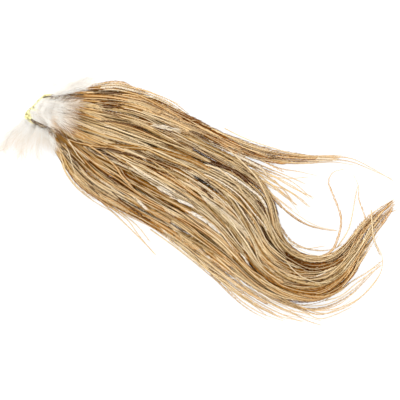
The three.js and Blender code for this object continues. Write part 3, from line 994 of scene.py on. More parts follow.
# The hackles between
# A real saddle has several hundred feathers. These fill the rows between those of the frame, in
# the same sheets, so that each strand of the combed bundle is a feather of its own.
FILL_ROWS = [
    # name, sheet, layer, first lane, last lane, drift, spread, how many, shortest and longest end
    ("hook_under", "hook", 0.5, -0.3, 7.3, 0, 0.1, 22, 0.85, 1.0),
    ("hook_low", "hook", 1.4, -0.3, 7.3, 0, 0.3, 18, 0.85, 1.0),
    ("hook_mid", "hook", 2.4, -0.2, 7.2, 0, 0.5, 20, 0.78, 1.0),
    ("hook_high", "hook", 3.0, 0.0, 7.0, 0, 0.9, 24, 0.7, 1.0),
    ("hook_fan", "hook", 3.1, 4.4, 6.0, 1.7, 0.5, 9, 0.5, 0.95),
    ("hook_crown", "hook", 3.5, 0.4, 6.2, 0, 1.2, 15, 0.5, 1.0),
    ("hook_cross", "hook", 3.9, 3.2, 5.4, -1.6, 0.5, 10, 0.35, 0.9),
    ("hook_over", "hook", 3.9, 1.0, 4.4, -0.8, 1.0, 8, 0.35, 0.9),
    ("hook_tips", "hook", 1.0, 0.4, 4.6, 0, 0.3, 9, 0.97, 1.0),
    ("hook_ends", "hook", 1.6, 3.6, 7.0, 0, 0.3, 8, 0.88, 0.95),
    ("brim_low", "brim", 0.7, 0.0, 1.8, 0, 0.1, 4, 0.8, 1.0),
    ("brim_mid", "brim", 1.7, 0.0, 1.8, 0, 0.3, 5, 0.7, 1.0),
    ("brim_high", "brim", 2.6, 0.0, 1.9, 0, 0.5, 6, 0.6, 1.0),
    ("middle_low", "middle", 0.6, 0.2, 2.8, 0, 0.2, 4, 0.7, 0.93),
    ("middle_mid", "middle", 1.9, 0.2, 2.8, 0, 0.4, 5, 0.6, 0.9),
    ("middle_high", "middle", 3.0, 0.0, 3.0, 0, 0.7, 9, 0.5, 0.88),
    ("wisp_low", "wisp", 1.2, -0.1, 1.3, 0, 0.1, 5, 0.6, 0.85),
    ("wisp_high", "wisp", 2.6, -0.1, 1.2, 0, 0.2, 7, 0.45, 0.8),
    ("wisp_crown", "wisp", 3.4, -0.1, 1.2, 0, 0.3, 6, 0.4, 0.7),
    ("edge_join", "edge", 1.2, -1.0, -0.1, 0, 0.2, 6, 0.6, 0.9),
    ("edge_low", "edge", 0.7, -0.3, 1.1, 0, 0.2, 7, 0.6, 0.97),
    ("edge_mid", "edge", 1.7, -0.5, 1.1, 0, 0.3, 8, 0.6, 0.97),
    ("edge_high", "edge", 2.8, -0.7, 1.0, 0, 0.4, 9, 0.5, 0.97),
]
HIDDEN_SPACING = 2.0
HIDDEN_LAYERS = 2
FEATHERS_TO_A_PIECE = 12
PLACE_IN_ROW = (0.2, 0.8)
LAYER_SPREAD = 0.2
FILL_SWAY = 0.9
FILL_VANES = (0.7, 1.1)
FILL_SIDE_LEAVES = 0.8
# outside this lane the feathers of the hook are shorter, by this share for each lane
MIDDLE_OF_HOOK = 3.5
OUTER_SHORTER = 0.027
QUICK_SETTLING = {"hook_fan": 0.24, "hook_cross": 0.32}
number = 100
for row_name, sheet_name, layer, first, last, drift, spread, count, shortest, longest in FILL_ROWS:
    chances = np.random.default_rng(number)
    spacing = BARB_SPACING if layer > HIDDEN_LAYERS else HIDDEN_SPACING
    settled = QUICK_SETTLING.get(row_name, SETTLED_AT)
    leaves = FILL_SIDE_LEAVES if sheet_name in SIDE_SHEETS else 1.0
    paler = SIDE_TIPS_PALER.get(sheet_name, 0.0)
    parts = []
    for place in range(count):
        number += 1
        lane = mix(first, last, (place + chances.uniform(*PLACE_IN_ROW)) / count)
        end = chances.uniform(shortest, longest)
        if sheet_name == "hook":
            end = min(end, 1.0 - OUTER_SHORTER * max(lane + drift - MIDDLE_OF_HOOK, 0))
        depth = layer + chances.uniform(-LAYER_SPREAD, LAYER_SPREAD)
        wanders = drift + spread * chances.uniform(-1, 1)
        line = laid_line(
            sheet_name, lane, depth, end, FILL_SWAY, number, drift=wanders, settled=settled
        )
        half_vane = half_vane_in(layer) * chances.uniform(*FILL_VANES)
        arrays = hackle_arrays(line, number, half_vane, leaves, spacing, tip_darker=paler)
        parts.append((*arrays, *feather_look(sheet_name, lane, layer, chances)))
    pieces = math.ceil(count / FEATHERS_TO_A_PIECE)
    for share in range(pieces):
        piece = joined_piece(f"{row_name}_{share + 1}", parts[share::pieces], hackle_look)


# The fine ends on top
# Thin ends of feathers whose roots lie deep: they come up between the others and run across them
# at shallow angles, pale, golden or dark brown.
FINE_ENDS = [
    # sheet, first lane, last lane, how many, earliest start, latest start
    ("hook", -0.2, 7.2, 44, 0.06, 0.62),
    ("brim", 0.0, 2.0, 10, 0.2, 0.6),
    ("middle", -0.2, 3.0, 16, 0.06, 0.45),
    ("wisp", -0.3, 1.6, 12, 0.08, 0.5),
    ("edge", -0.5, 1.2, 12, 0.06, 0.6),
]
FINE_LAYER = 3.7
FINE_DRIFT = 1.3
FINE_SWAY = 1.0
FINE_LENGTHS = (0.18, 0.5)
FINE_SINK = 4.0
FINE_HALF_VANES = (0.4, 0.75)
FINE_LEAVES = 1.1
FINE_SPACING = 2.3
FINE_SLENDER = 0.7
FINE_STARTS_AT = 0.3
FINE_LOOK_LAYER = 3.5
# darker or paler than its neighbours, and how many of each
FINE_TONES = [-0.45, 0.32]
FINE_TONE_SHARES = [0.35, 0.65]
NARROW_SHEET_DRIFT = 0.4
RISE_LENGTH = 14
LEAST_STATIONS = 12
LEAST_HEIGHT = 0.2


def drift_in(sheet_name, most, chances):
    """How far a feather drifts from its lane, with less room for it outside the hook."""
    return most * chances.uniform(-1, 1) * (1 if sheet_name == "hook" else NARROW_SHEET_DRIFT)


def stretch_of(line, starts, lengths, sink, chances):
    """A part of a line that comes up from between its neighbours."""
    start = chances.uniform(*starts)
    end = min(start + chances.uniform(*lengths), 1.0)
    first = int(start * (len(line) - 1))
    last = max(int(end * (len(line) - 1)), first + LEAST_STATIONS)
    part = line[first:last].copy()
    come_up = np.arange(len(part)) * STATION / RISE_LENGTH
    part[:, 2] = np.maximum(part[:, 2] - sink * (1 - smooth(0, 1, come_up)), LEAST_HEIGHT)
    return part


for sheet_name, first, last, count, earliest, latest in FINE_ENDS:
    parts = []
    for _ in range(count):
        number += 1
        chances = np.random.default_rng(number)
        lane = chances.uniform(first, last)
        wanders = drift_in(sheet_name, FINE_DRIFT, chances)
        line = laid_line(sheet_name, lane, FINE_LAYER, 1.0, FINE_SWAY, number, drift=wanders)
        line = stretch_of(line, (earliest, latest), FINE_LENGTHS, FINE_SINK, chances)
        arrays = hackle_arrays(
            line, number, chances.uniform(*FINE_HALF_VANES), FINE_LEAVES, FINE_SPACING,
            FINE_SLENDER, starts_at=FINE_STARTS_AT,
        )
        tone, warmth = feather_look(sheet_name, lane, FINE_LOOK_LAYER, chances)
        tone += chances.choice(FINE_TONES, p=FINE_TONE_SHARES)
        parts.append((*arrays, tone, warmth))
    piece = joined_piece(f"fine_ends_{sheet_name}", parts, hackle_look)


# The broad vanes
# Here and there a feather lies flat over the others, and its whole smooth vane shows as a broad
# ribbon: beige, cream, golden or brown, with painted shade darkening each edge.
BROAD_VANES = [
    # sheet, first lane, last lane, how many, earliest start, latest start
    ("hook", 0.2, 6.8, 34, 0.1, 0.62),
    ("middle", 0.0, 3.0, 8, 0.12, 0.6),
    ("wisp", 0.0, 1.2, 4, 0.12, 0.4),
    ("edge", -0.4, 0.9, 6, 0.1, 0.6),
]
BROAD_LAYERS = (3.4, 3.9)
BROAD_HALF_VANES = (1.6, 2.5)
BROAD_LENGTHS = (0.14, 0.36)
BROAD_PLACES = (0.1, 0.9)
BROAD_DRIFT = 0.5
BROAD_SWAY = 0.8
BROAD_SINK = 3.0
BROAD_LEAVES = 1.15
BROAD_SLENDER = 0.6
BROAD_LEAST_VANE = 0.9
BROAD_FLATNESS = 0.65
BROAD_UNEVENNESS = 0.5
BROAD_STARTS_AT = 0.2
BROAD_LOOK_LAYER = 2.5
BROAD_PALER = 0.05
for sheet_name, first, last, count, earliest, latest in BROAD_VANES:
    parts = []
    for place in range(count):
        number += 1
        chances = np.random.default_rng(number)
        lane = mix(first, last, (place + chances.uniform(*BROAD_PLACES)) / count)
        wanders = drift_in(sheet_name, BROAD_DRIFT, chances)
        layer = chances.uniform(*BROAD_LAYERS)
        line = laid_line(sheet_name, lane, layer, 1.0, BROAD_SWAY, number, drift=wanders)
        line = stretch_of(line, (earliest, latest), BROAD_LENGTHS, BROAD_SINK, chances)
        arrays = hackle_arrays(
            line, number, chances.uniform(*BROAD_HALF_VANES), BROAD_LEAVES,
            slender=BROAD_SLENDER, least_vane=BROAD_LEAST_VANE, flatness=BROAD_FLATNESS,
            uneven=BROAD_UNEVENNESS, starts_at=BROAD_STARTS_AT,
        )
        tone, warmth = feather_look(sheet_name, lane, BROAD_LOOK_LAYER, chances)
        parts.append((*arrays, tone + BROAD_PALER, warmth))
    piece = joined_piece(f"broad_vanes_{sheet_name}", parts, hackle_look)


# The bright shafts, partly painted highlights
# Bare stretches of quill over the top of the bundle, some brown, some honey, and some pale ones whose
# pale colour is a painted highlight where they catch the light.
SHAFT_ROWS = [
    # sheet, first lane, last lane, how many
    ("hook", 0.0, 7.0, 56),
    ("brim", 0.0, 2.0, 12),
    ("middle", -0.2, 3.0, 24),
    ("wisp", -0.3, 1.6, 14),
    ("edge", -0.5, 0.9, 14),
]
SHAFT_LAYER = 3.95
SHAFT_DRIFT = 0.8
SHAFT_DRIFT_SHARES = {"edge": 0.2, "wisp": 0.2}
SHAFT_SWAY = 1.2
EARLIEST_SHAFT = 0.05
LATEST_SHAFT = 0.75
LATEST_SHAFTS = {"wisp": 0.5}
SHAFT_LENGTHS = (0.1, 0.3)
SHAFT_SINK = 3.5
SHAFT_RADIUS = (0.24, 0.13)
# pale as a painted highlight, honey or brown, how many of each, and how grey or warm
SHAFT_TONES = [1.0, 0.75, 0.1]
SHAFT_TONE_SHARES = [0.4, 0.3, 0.3]
SHAFT_WARMTHS = (-0.8, 0.4)
# they take the colour of barbs, and of the middle of a feather's length
SHAFT_OUT = 0.2
SHAFT_ALONG = (0.4, 0.3)
for sheet_name, first, last, count in SHAFT_ROWS:
    parts = []
    for _ in range(count):
        number += 1
        chances = np.random.default_rng(number)
        wanders = SHAFT_DRIFT * chances.uniform(-1, 1) * SHAFT_DRIFT_SHARES.get(sheet_name, 1)
        lane = chances.uniform(first, last)
        line = laid_line(sheet_name, lane, SHAFT_LAYER, 1.0, SHAFT_SWAY, number, drift=wanders)
        starts = (EARLIEST_SHAFT, LATEST_SHAFTS.get(sheet_name, LATEST_SHAFT))
        line = stretch_of(line, starts, SHAFT_LENGTHS, SHAFT_SINK, chances)
        points, faces, along, _ = quill_arrays(line, directions(line), *SHAFT_RADIUS)
        tone = chances.choice(SHAFT_TONES, p=SHAFT_TONE_SHARES)
        out = np.full(len(points), SHAFT_OUT)
        along = SHAFT_ALONG[0] + SHAFT_ALONG[1] * along
        parts.append((points, faces, along, out, 0, tone, chances.uniform(*SHAFT_WARMTHS)))
    piece = joined_piece(f"shafts_painted_highlight_{sheet_name}", parts, hackle_look)


# The strands on top
# Single feathers that lie over all the others and stand out: cream and golden ones with narrow
# vanes, the palest of them partly painted highlights, dark brown ones laid where the bundle has
# dark gaps as painted shade, and a few broad soft bases of vane, nearly white.
TOP_STRANDS = [
    # sheet, share of its length and lane at points along it, half width in mm, tone, warmth
    ("hook", [(0.235, 4.2), (0.305, 4.5)], 0.55, 1.3, -0.6),
    ("edge", [(0.38, -0.9), (0.43, -0.4), (0.47, -0.15)], 1.0, 1.0, -0.8),
    ("hook", [(0.36, 0.7), (0.43, 0.45), (0.53, 0.5)], 0.5, 1.1, -0.6),
    ("middle", [(0.69, 0.6), (0.75, 0.9), (0.825, 1.3), (0.9, 1.8)], 1.1, 1.3, -1.2),
    ("middle", [(0.82, 0.2), (0.895, 0.6), (0.96, 0.8)], 0.7, 0.8, 0.5),
    ("wisp", [(0.53, 0.8), (0.573, 0.6), (0.625, 0.9)], 0.8, -0.2, 0.4),
    ("wisp", [(0.585, 0.3), (0.628, 0.2), (0.68, 0.7), (0.72, 0.9)], 0.8, -0.1, 0.6),
    ("wisp", [(0.642, 0.4), (0.703, 0.3), (0.765, 0.1), (0.845, 0.0)], 0.7, 0.75, 1.0),
    ("wisp", [(0.672, 1.0), (0.735, 1.1), (0.797, 1.0)], 0.6, 0.85, -0.1),
    ("wisp", [(0.608, -0.1), (0.662, -0.1), (0.723, -0.1)], 0.8, 0.2, 0.6),
    ("wisp", [(0.38, 1.2), (0.438, 1.1), (0.487, 1.2), (0.53, 1.1)], 1.0, -0.25, 0.3),
    ("wisp", [(0.413, 0.9), (0.475, 0.8), (0.547, 1.0)], 0.8, 0.5, 0.9),
    ("wisp", [(0.453, 0.1), (0.497, 0.0), (0.557, 0.0)], 0.6, 1.1, -0.1),
    ("wisp", [(0.11, 0.4), (0.15, 0.2), (0.193, 0.2), (0.23, 0.2)], 0.9, -0.2, 0.4),
    ("wisp", [(0.085, -0.1), (0.125, -0.2), (0.163, -0.2), (0.208, -0.1)], 1.2, 0.6, 0.4),
    ("wisp", [(0.175, -0.1), (0.242, 0.0), (0.312, 0.3), (0.383, 0.5)], 1.0, 0.7, 0.3),
    ("wisp", [(0.14, 1.2), (0.188, 1.1), (0.235, 1.1)], 0.6, -0.05, 0.5),
    ("wisp", [(0.083, 0.6), (0.125, 0.9), (0.175, 1.1)], 0.8, 0.2, 0.5),
    ("edge", [(0.12, -0.6), (0.17, 0.0), (0.228, 0.1), (0.302, 0.1)], 0.45, 0.05, 0.2),
    ("edge", [(0.155, 0.2), (0.22, 0.7), (0.275, 0.8)], 1.3, 0.7, -0.2),
    ("hook", [(0.23, 5.0), (0.25, 5.5), (0.265, 6.0), (0.29, 6.3)], 2.3, 0.12, 0.8),
    ("wisp", [(0.077, 0.9), (0.12, 1.1), (0.165, 1.2)], 1.6, 0.15, 0.5),
    ("middle", [(0.16, 0.3), (0.22, 0.4), (0.3, 0.5)], 1.4, 0.2, 0.5),
    ("middle", [(0.15, 1.0), (0.21, 1.1), (0.28, 1.0)], 0.9, -0.1, 0.4),
    ("middle", [(0.18, 1.7), (0.24, 2.0), (0.307, 2.3)], 0.8, 0.0, 0.4),
    ("hook", [(0.25, 2.9), (0.3, 2.6), (0.35, 2.3)], 1.6, 0.2, 0.2),
    ("hook", [(0.26, 2.3), (0.32, 2.0), (0.37, 1.7)], 0.8, -0.1, 0.2),
    ("hook", [(0.24, 3.6), (0.3, 3.3), (0.36, 3.1)], 1.0, 0.1, 0.3),
    ("hook", [(0.165, 5.8), (0.188, 5.2), (0.212, 4.7), (0.242, 4.6)], 1.0, -0.25, 0.2),
    ("middle", [(0.638, 1.4), (0.69, 1.4)], 0.8, -0.35, 0.2),
    ("hook", [(0.48, 1.8), (0.512, 2.0), (0.54, 2.2)], 0.6, -0.3, 0.1),
    ("hook", [(0.398, 1.6), (0.445, 1.5), (0.503, 1.7), (0.578, 2.0)], 1.0, 0.85, -1.0),
    ("hook", [(0.443, 2.0), (0.48, 2.4), (0.535, 2.8), (0.58, 3.1)], 0.8, 1.0, -1.0),
    ("middle", [(0.56, -0.4), (0.6, -0.2), (0.652, 0.0), (0.713, 0.4), (0.77, 0.6)], 1.5, 0.45, 0.4),
    ("edge", [(0.6, 1.2), (0.655, 1.2), (0.718, 1.0), (0.805, 1.0), (0.883, 1.1)], 0.9, 1.25, -0.1),
    ("edge", [(0.623, 0.6), (0.69, 0.6), (0.772, 0.5), (0.848, 0.4)], 1.3, 1.05, 0.1),
    ("edge", [(0.635, -0.2), (0.713, -0.1), (0.79, -0.3), (0.87, -0.5)], 1.0, 1.1, -0.2),
    ("edge", [(0.53, 0.2), (0.58, 0.2), (0.63, 0.3)], 1.6, 1.0, 0.1),
    ("hook", [(0.46, 6.9), (0.5, 6.8), (0.55, 6.9)], 1.2, 1.0, -0.1),
    ("hook", [(0.645, 6.1), (0.7, 6.5), (0.753, 6.7), (0.82, 6.6)], 1.2, 0.8, 0.5),
    ("hook", [(0.66, 4.9), (0.71, 5.2), (0.76, 5.4), (0.81, 5.2), (0.86, 4.9)], 1.6, 0.5, 0.3),
    ("hook", [(0.85, 3.3), (0.88, 3.4), (0.91, 3.3), (0.94, 3.2), (0.965, 3.0)], 1.0, 0.95, -0.2),
    ("hook", [(0.73, 6.0), (0.768, 5.9), (0.8, 6.3), (0.835, 6.7), (0.88, 6.8)], 1.7, 0.45, 0.4),
    ("hook", [(0.87, 2.2), (0.902, 2.0), (0.92, 2.0), (0.94, 1.8), (0.965, 1.8)], 1.2, 1.0, -0.1),
    ("hook", [(0.42, 1.9), (0.46, 1.8), (0.51, 2.1), (0.57, 2.4)], 0.55, 1.3, -1.2),
    ("hook", [(0.46, 3.2), (0.51, 3.5), (0.56, 3.7), (0.61, 3.9)], 0.55, 1.3, -1.1),
    ("hook", [(0.4, 4.6), (0.45, 4.7), (0.5, 4.9), (0.55, 5.0)], 0.6, 1.2, -0.9),
    ("edge", [(0.55, -0.8), (0.6, -0.7), (0.64, -0.7), (0.69, -0.7)], 1.4, 0.65, 0.2),
    ("hook", [(0.8, 1.0), (0.85, 1.2), (0.9, 1.4), (0.93, 1.5)], 0.8, 0.35, 0.5),
    ("hook", [(0.83, 4.6), (0.87, 4.7), (0.91, 4.4), (0.94, 4.2)], 0.7, 0.8, 0.6),
    ("hook", [(0.615, 4.2), (0.672, 5.0), (0.73, 5.7), (0.8, 6.7)], 1.5, 0.7, 0.6),
    ("middle", [(0.105, 2.1), (0.152, 2.0), (0.198, 2.3)], 2.2, 1.1, -0.7),
    ("hook", [(0.062, 1.0), (0.098, 0.7), (0.14, 0.7), (0.18, 1.1)], 2.2, 1.0, -0.4),
    ("hook", [(0.068, 3.2), (0.103, 2.6), (0.143, 2.1)], 2.0, 0.9, 0.1),
    ("hook", [(0.263, 1.1), (0.312, 0.8), (0.362, 0.5)], 0.6, 1.2, -0.6),
    ("hook", [(0.88, 0.0), (0.915, 0.3), (0.948, 0.3)], 0.35, 1.0, 0.2),
    ("hook", [(0.27, 4.6), (0.32, 4.4), (0.37, 4.8), (0.41, 4.8)], 0.5, 1.2, -0.6),
    ("hook", [(0.31, 2.6), (0.36, 2.4), (0.41, 2.5), (0.49, 3.1)], 0.55, 1.1, -0.9),
    ("hook", [(0.44, 3.6), (0.54, 3.5), (0.63, 4.2)], 0.6, 1.0, -0.9),
    ("hook", [(0.47, 4.2), (0.53, 4.7), (0.62, 4.2), (0.7, 4.4)], 0.5, 1.1, -0.8),
    ("hook", [(0.2, 6.6), (0.25, 6.3), (0.28, 6.7), (0.33, 7.2)], 0.5, 1.0, 0.2),
    ("edge", [(0.16, 0.5), (0.23, 1.1), (0.29, 1.2), (0.36, 1.2)], 0.6, 1.3, -0.3),
    ("hook", [(0.485, 5.5), (0.55, 6.1), (0.6, 6.2)], 0.7, 0.6, 0.9),
    ("hook", [(0.68, 1.4), (0.725, 2.7), (0.77, 3.7), (0.82, 4.7)], 0.5, 1.0, -0.8),
    ("hook", [(0.78, 3.4), (0.82, 2.5), (0.86, 1.6), (0.89, 0.7)], 0.35, 1.1, 0.3),
    ("hook", [(0.82, 7.3), (0.865, 6.8), (0.885, 6.0), (0.9, 3.0)], 0.4, 1.0, 0.3),
    ("hook", [(0.76, 2.1), (0.83, 2.1)], 1.0, 1.3, -0.5),
    ("edge", [(0.37, 0.0), (0.44, 0.4), (0.48, 0.5)], 0.4, 0.0, 0.1),
    ("edge", [(0.295, 0.2), (0.345, 0.5)], 0.4, 0.0, 0.1),
    ("hook", [(0.355, 2.75), (0.415, 2.45)], 0.5, -0.1, 0.2),
    ("hook", [(0.355, 1.9), (0.41, 1.65), (0.45, 2.0)], 0.45, 0.0, 0.2),
    ("hook", [(0.465, 2.9), (0.52, 3.0)], 0.35, 0.0, 0.1),
    ("hook", [(0.52, 3.4), (0.575, 3.3)], 0.4, 0.0, 0.1),
    ("hook", [(0.175, 5.1), (0.22, 4.8), (0.265, 4.8)], 0.4, 0.05, 0.2),
    ("hook", [(0.16, 5.3), (0.205, 4.5)], 0.35, 0.1, 0.3),
    ("hook", [(0.68, 0.3), (0.745, 0.4)], 0.4, 0.0, 0.1),
    ("hook", [(0.72, 1.8), (0.76, 1.9), (0.8, 1.7)], 0.5, 0.1, 0.3),
    ("hook", [(0.36, 5.6), (0.388, 5.2), (0.415, 4.9)], 1.5, 1.4, -1.9),
    ("hook", [(0.395, 6.1), (0.415, 5.8), (0.44, 5.6), (0.465, 5.6), (0.5, 5.4)], 1.7, 1.4, -1.9),
    ("hook", [(0.31, 5.3), (0.34, 5.2), (0.37, 5.2)], 2.2, 1.1, -1.3),
    ("hook", [(0.355, 7.1), (0.39, 7.2), (0.42, 6.8)], 2.0, 0.95, -0.5),
    ("hook", [(0.53, 5.5), (0.557, 5.6), (0.585, 5.9)], 0.8, 1.3, -1.8),
    ("middle", [(0.37, 2.4), (0.438, 1.6), (0.515, 0.9)], 2.0, 1.1, -1.2),
    ("edge", [(0.52, 0.1), (0.56, 0.1), (0.595, -0.1), (0.65, -0.3)], 2.0, 0.5, -0.9),
    ("hook", [(0.4, 3.4), (0.443, 3.6), (0.48, 3.7), (0.525, 3.9), (0.58, 4.3)], 2.6, 0.72, -0.9),
    ("hook", [(0.17, 3.8), (0.233, 2.5), (0.285, 1.4), (0.343, 0.8), (0.4, 0.7)], 2.0, 0.5, 0.0),
    ("hook", [(0.33, 4.2), (0.4, 4.2)], 0.5, 0.75, 0.2),
    ("hook", [(0.24, 4.2), (0.268, 5.2)], 0.5, -0.1, -0.6),
    ("edge", [(0.6, 0.0), (0.67, -0.1), (0.73, -0.1)], 1.5, 0.7, 0.3),
    ("edge", [(0.62, 1.0), (0.68, 1.1)], 1.2, 1.1, -0.2),
    ("hook", [(0.62, 1.0), (0.7, 1.0), (0.75, 1.5), (0.8, 1.5), (0.86, 1.5)], 1.9, 0.1, -0.1),
    ("hook", [(0.61, 0.1), (0.66, 0.2), (0.71, 0.3), (0.75, 0.2)], 1.3, 0.7, -0.8),
    ("hook", [(0.64, 3.0), (0.7, 3.4), (0.735, 3.6), (0.79, 4.2)], 1.5, 0.75, -0.5),
    ("hook", [(0.745, 2.8), (0.8, 2.2)], 0.6, 1.3, -1.7),
    ("brim", [(0.36, -0.5), (0.42, 0.1), (0.47, 0.5), (0.53, 1.1), (0.61, 1.4)], 0.9, 1.1, -0.4),
    ("hook", [(0.48, 0.5), (0.53, 0.6), (0.575, 0.6)], 0.6, -0.2, 0.1),
    ("brim", [(0.405, 0.4), (0.455, 0.7)], 0.5, -0.2, 0.3),
    ("middle", [(0.63, 1.3), (0.7, 1.2)], 0.5, -0.1, 0.3),
    ("hook", [(0.36, 0.6), (0.4, 0.2), (0.45, 0.6), (0.49, 1.0)], 0.9, 1.1, -0.6),
    ("hook", [(0.38, 1.7), (0.43, 1.8), (0.5, 2.4), (0.57, 2.9), (0.62, 3.2)], 1.6, 0.6, -0.9),
    ("hook", [(0.44, 2.4), (0.5, 2.7), (0.57, 3.0), (0.63, 4.1)], 0.7, 1.2, -0.9),
    ("hook", [(0.42, 5.4), (0.46, 5.3), (0.505, 5.5), (0.55, 5.8)], 0.7, 0.8, 0.3),
    ("middle", [(0.1, 0.7), (0.17, 1.2), (0.24, 1.7)], 2.3, 0.95, -0.4),
    ("hook", [(0.08, -0.3), (0.14, 0.1), (0.185, 0.7)], 2.3, 0.9, -0.1),
    ("hook", [(0.27, 2.7), (0.34, 3.2), (0.39, 3.8)], 0.7, 0.75, 0.1),
    ("hook", [(0.28, 3.5), (0.325, 2.9), (0.37, 2.8)], 1.8, 0.55, -0.9),
    ("hook", [(0.09, 6.4), (0.13, 5.7), (0.163, 4.8), (0.2, 3.6), (0.24, 2.7)], 1.2, 0.6, 0.3),
    (
        "hook", [(0.133, 4.8), (0.165, 4.9), (0.198, 5.0), (0.235, 5.5), (0.265, 6.3), (0.297, 6.8)],
        0.9, 0.75, 0.3,
    ),
    (
        "hook", [(0.385, 3.1), (0.417, 3.4), (0.453, 3.4), (0.482, 3.3), (0.52, 3.1), (0.555, 3.2)],
        2.0, 0.95, -1.05,
    ),
    ("hook", [(0.242, 4.6), (0.26, 5.0), (0.278, 5.4), (0.292, 5.6)], 1.0, 0.25, -1.0),
    ("hook", [(0.36, 0.4), (0.385, 0.0), (0.42, -0.3), (0.443, -0.3), (0.48, 0.0)], 1.3, -0.35, 0.2),
    ("hook", [(0.408, -0.1), (0.43, -0.4), (0.458, -0.3), (0.485, -0.2)], 1.1, -0.3, 0.2),
    ("hook", [(0.372, 1.9), (0.39, 1.75), (0.413, 1.75), (0.432, 1.9), (0.455, 2.1)], 1.3, -0.3, 0.2),
    ("hook", [(0.375, 2.6), (0.403, 2.7), (0.42, 2.9), (0.438, 2.9)], 1.0, -0.4, 0.2),
    ("hook", [(0.482, 0.5), (0.508, 0.4), (0.535, 0.2), (0.57, 0.2)], 1.0, -0.35, 0.2),
    ("hook", [(0.515, 1.5), (0.547, 1.5), (0.578, 1.3), (0.608, 1.2)], 0.55, -0.4, 0.1),
    ("hook", [(0.355, 1.1), (0.378, 0.8), (0.408, 0.6)], 0.4, -0.1, 0.2),
    ("hook", [(0.478, 2.9), (0.515, 3.0)], 0.35, -0.2, 0.0),
    ("hook", [(0.532, 3.3), (0.565, 3.3)], 0.4, -0.2, 0.0),
    ("hook", [(0.165, 5.2), (0.185, 4.4), (0.205, 3.9), (0.228, 3.4), (0.253, 3.3)], 0.5, -0.2, 0.2),
    ("hook", [(0.28, 4.95), (0.305, 5.15), (0.325, 5.0)], 0.35, -0.1, 0.0),
    ("edge", [(0.372, 0.2), (0.41, 0.4), (0.445, 0.5)], 0.45, -0.1, 0.1),
    ("edge", [(0.39, -0.8), (0.42, -0.5), (0.453, -0.1)], 0.4, 0.0, 0.1),
    ("edge", [(0.5, 0.1), (0.532, 0.3)], 0.4, -0.1, 0.1),
    ("edge", [(0.503, 0.6), (0.545, 0.8)], 0.8, 1.1, -1.2),
    (
        "hook",
        [
            (0.357, 0.8), (0.383, 0.4), (0.417, 0.2), (0.45, 0.2), (0.482, 0.1), (0.51, -0.1),
            (0.56, -0.1),
        ],
        0.9, 1.4, -1.7,
    ),
    (
        "hook",
        [
            (0.365, 1.6), (0.39, 1.3), (0.417, 1.2), (0.468, 1.2), (0.517, 1.3), (0.542, 1.2),
            (0.575, 0.9), (0.6, 0.8),
        ],
        0.75, 1.4, -1.4,
    ),
    ("hook", [(0.375, 2.3), (0.413, 2.4), (0.453, 2.6), (0.47, 2.8)], 0.6, 1.4, -1.3),
    ("hook", [(0.465, 5.6), (0.487, 5.5), (0.512, 5.8), (0.54, 5.9)], 0.7, 1.4, -1.2),
    (
        "hook", [(0.74, 5.6), (0.78, 5.7), (0.8, 5.6), (0.823, 5.4), (0.848, 5.0), (0.875, 4.7)],
        1.3, 0.6, 0.2,
    ),
    ("hook", [(0.88, 2.3), (0.915, 2.1), (0.932, 1.7), (0.95, 1.6)], 0.8, 0.6, 0.3),
    ("hook", [(0.043, 3.6), (0.065, 3.6), (0.092, 3.5), (0.122, 3.5)], 1.8, 0.95, 0.1),
    ("hook", [(0.072, 6.5), (0.105, 6.0), (0.138, 5.5), (0.165, 5.4)], 0.7, -0.4, 0.2),
    ("hook", [(0.092, 5.5), (0.12, 6.3), (0.155, 7.2), (0.185, 7.6)], 0.6, 1.3, -0.8),
    ("edge", [(0.12, -0.8), (0.152, -0.2), (0.198, 0.3)], 0.7, -0.4, 0.2),
    ("edge", [(0.145, -1.0), (0.188, -0.3), (0.23, 0.3), (0.27, 0.6)], 0.6, 1.3, -0.9),
    ("edge", [(0.17, -0.6), (0.203, -0.3), (0.235, -0.1), (0.273, 0.1)], 0.6, -0.4, 0.2),
    ("edge", [(0.273, 0.2), (0.302, 0.2), (0.325, 0.3)], 0.5, -0.35, 0.1),
    ("edge", [(0.297, 0.4), (0.335, 0.6), (0.37, 0.8)], 0.6, -0.4, 0.2),
    ("hook", [(0.208, 6.9), (0.247, 7.3), (0.28, 7.6)], 0.6, -0.4, 0.2),
    ("hook", [(0.06, 4.6), (0.088, 4.3), (0.125, 4.3), (0.158, 4.2)], 1.6, 0.75, 0.2),
    (
        "hook", [(0.245, 4.2), (0.265, 4.5), (0.283, 4.7), (0.307, 4.7), (0.338, 4.7), (0.37, 4.6)],
        0.5, 1.3, -1.3,
    ),
    ("wisp", [(0.125, -0.2), (0.158, -0.3), (0.19, -0.4), (0.223, -0.3), (0.255, -0.2)], 0.9, 1.3, -1.3),
    ("wisp", [(0.143, 0.0), (0.175, -0.1), (0.208, -0.1), (0.24, 0.0)], 0.5, 1.3, -1.0),
    ("wisp", [(0.147, -0.4), (0.177, -0.6), (0.205, -0.6), (0.23, -0.5)], 0.8, 1.3, -1.0),
    ("wisp", [(0.753, 0.0), (0.78, 0.0), (0.812, 0.2), (0.845, 0.4)], 0.9, 1.3, -1.2),
    ("wisp", [(0.758, 0.6), (0.785, 0.5), (0.818, 0.6), (0.845, 0.6)], 0.5, 1.3, -0.9),
    ("hook", [(0.88, 3.9), (0.907, 3.4), (0.93, 2.6), (0.965, 1.6), (0.985, 0.4)], 0.7, 1.2, -0.5),
    ("hook", [(0.825, 3.8), (0.858, 3.2), (0.89, 3.5), (0.917, 3.7), (0.945, 3.4)], 0.6, 1.2, -0.7),
    ("hook", [(0.893, 3.8), (0.907, 3.2), (0.925, 2.7)], 1.2, 1.0, -1.6),
    ("edge", [(0.128, -0.8), (0.155, -0.8), (0.188, -0.7)], 0.6, -0.3, 0.3),
    ("hook", [(0.107, 5.6), (0.13, 5.4), (0.15, 5.1), (0.17, 4.9)], 0.6, -0.35, 0.2),
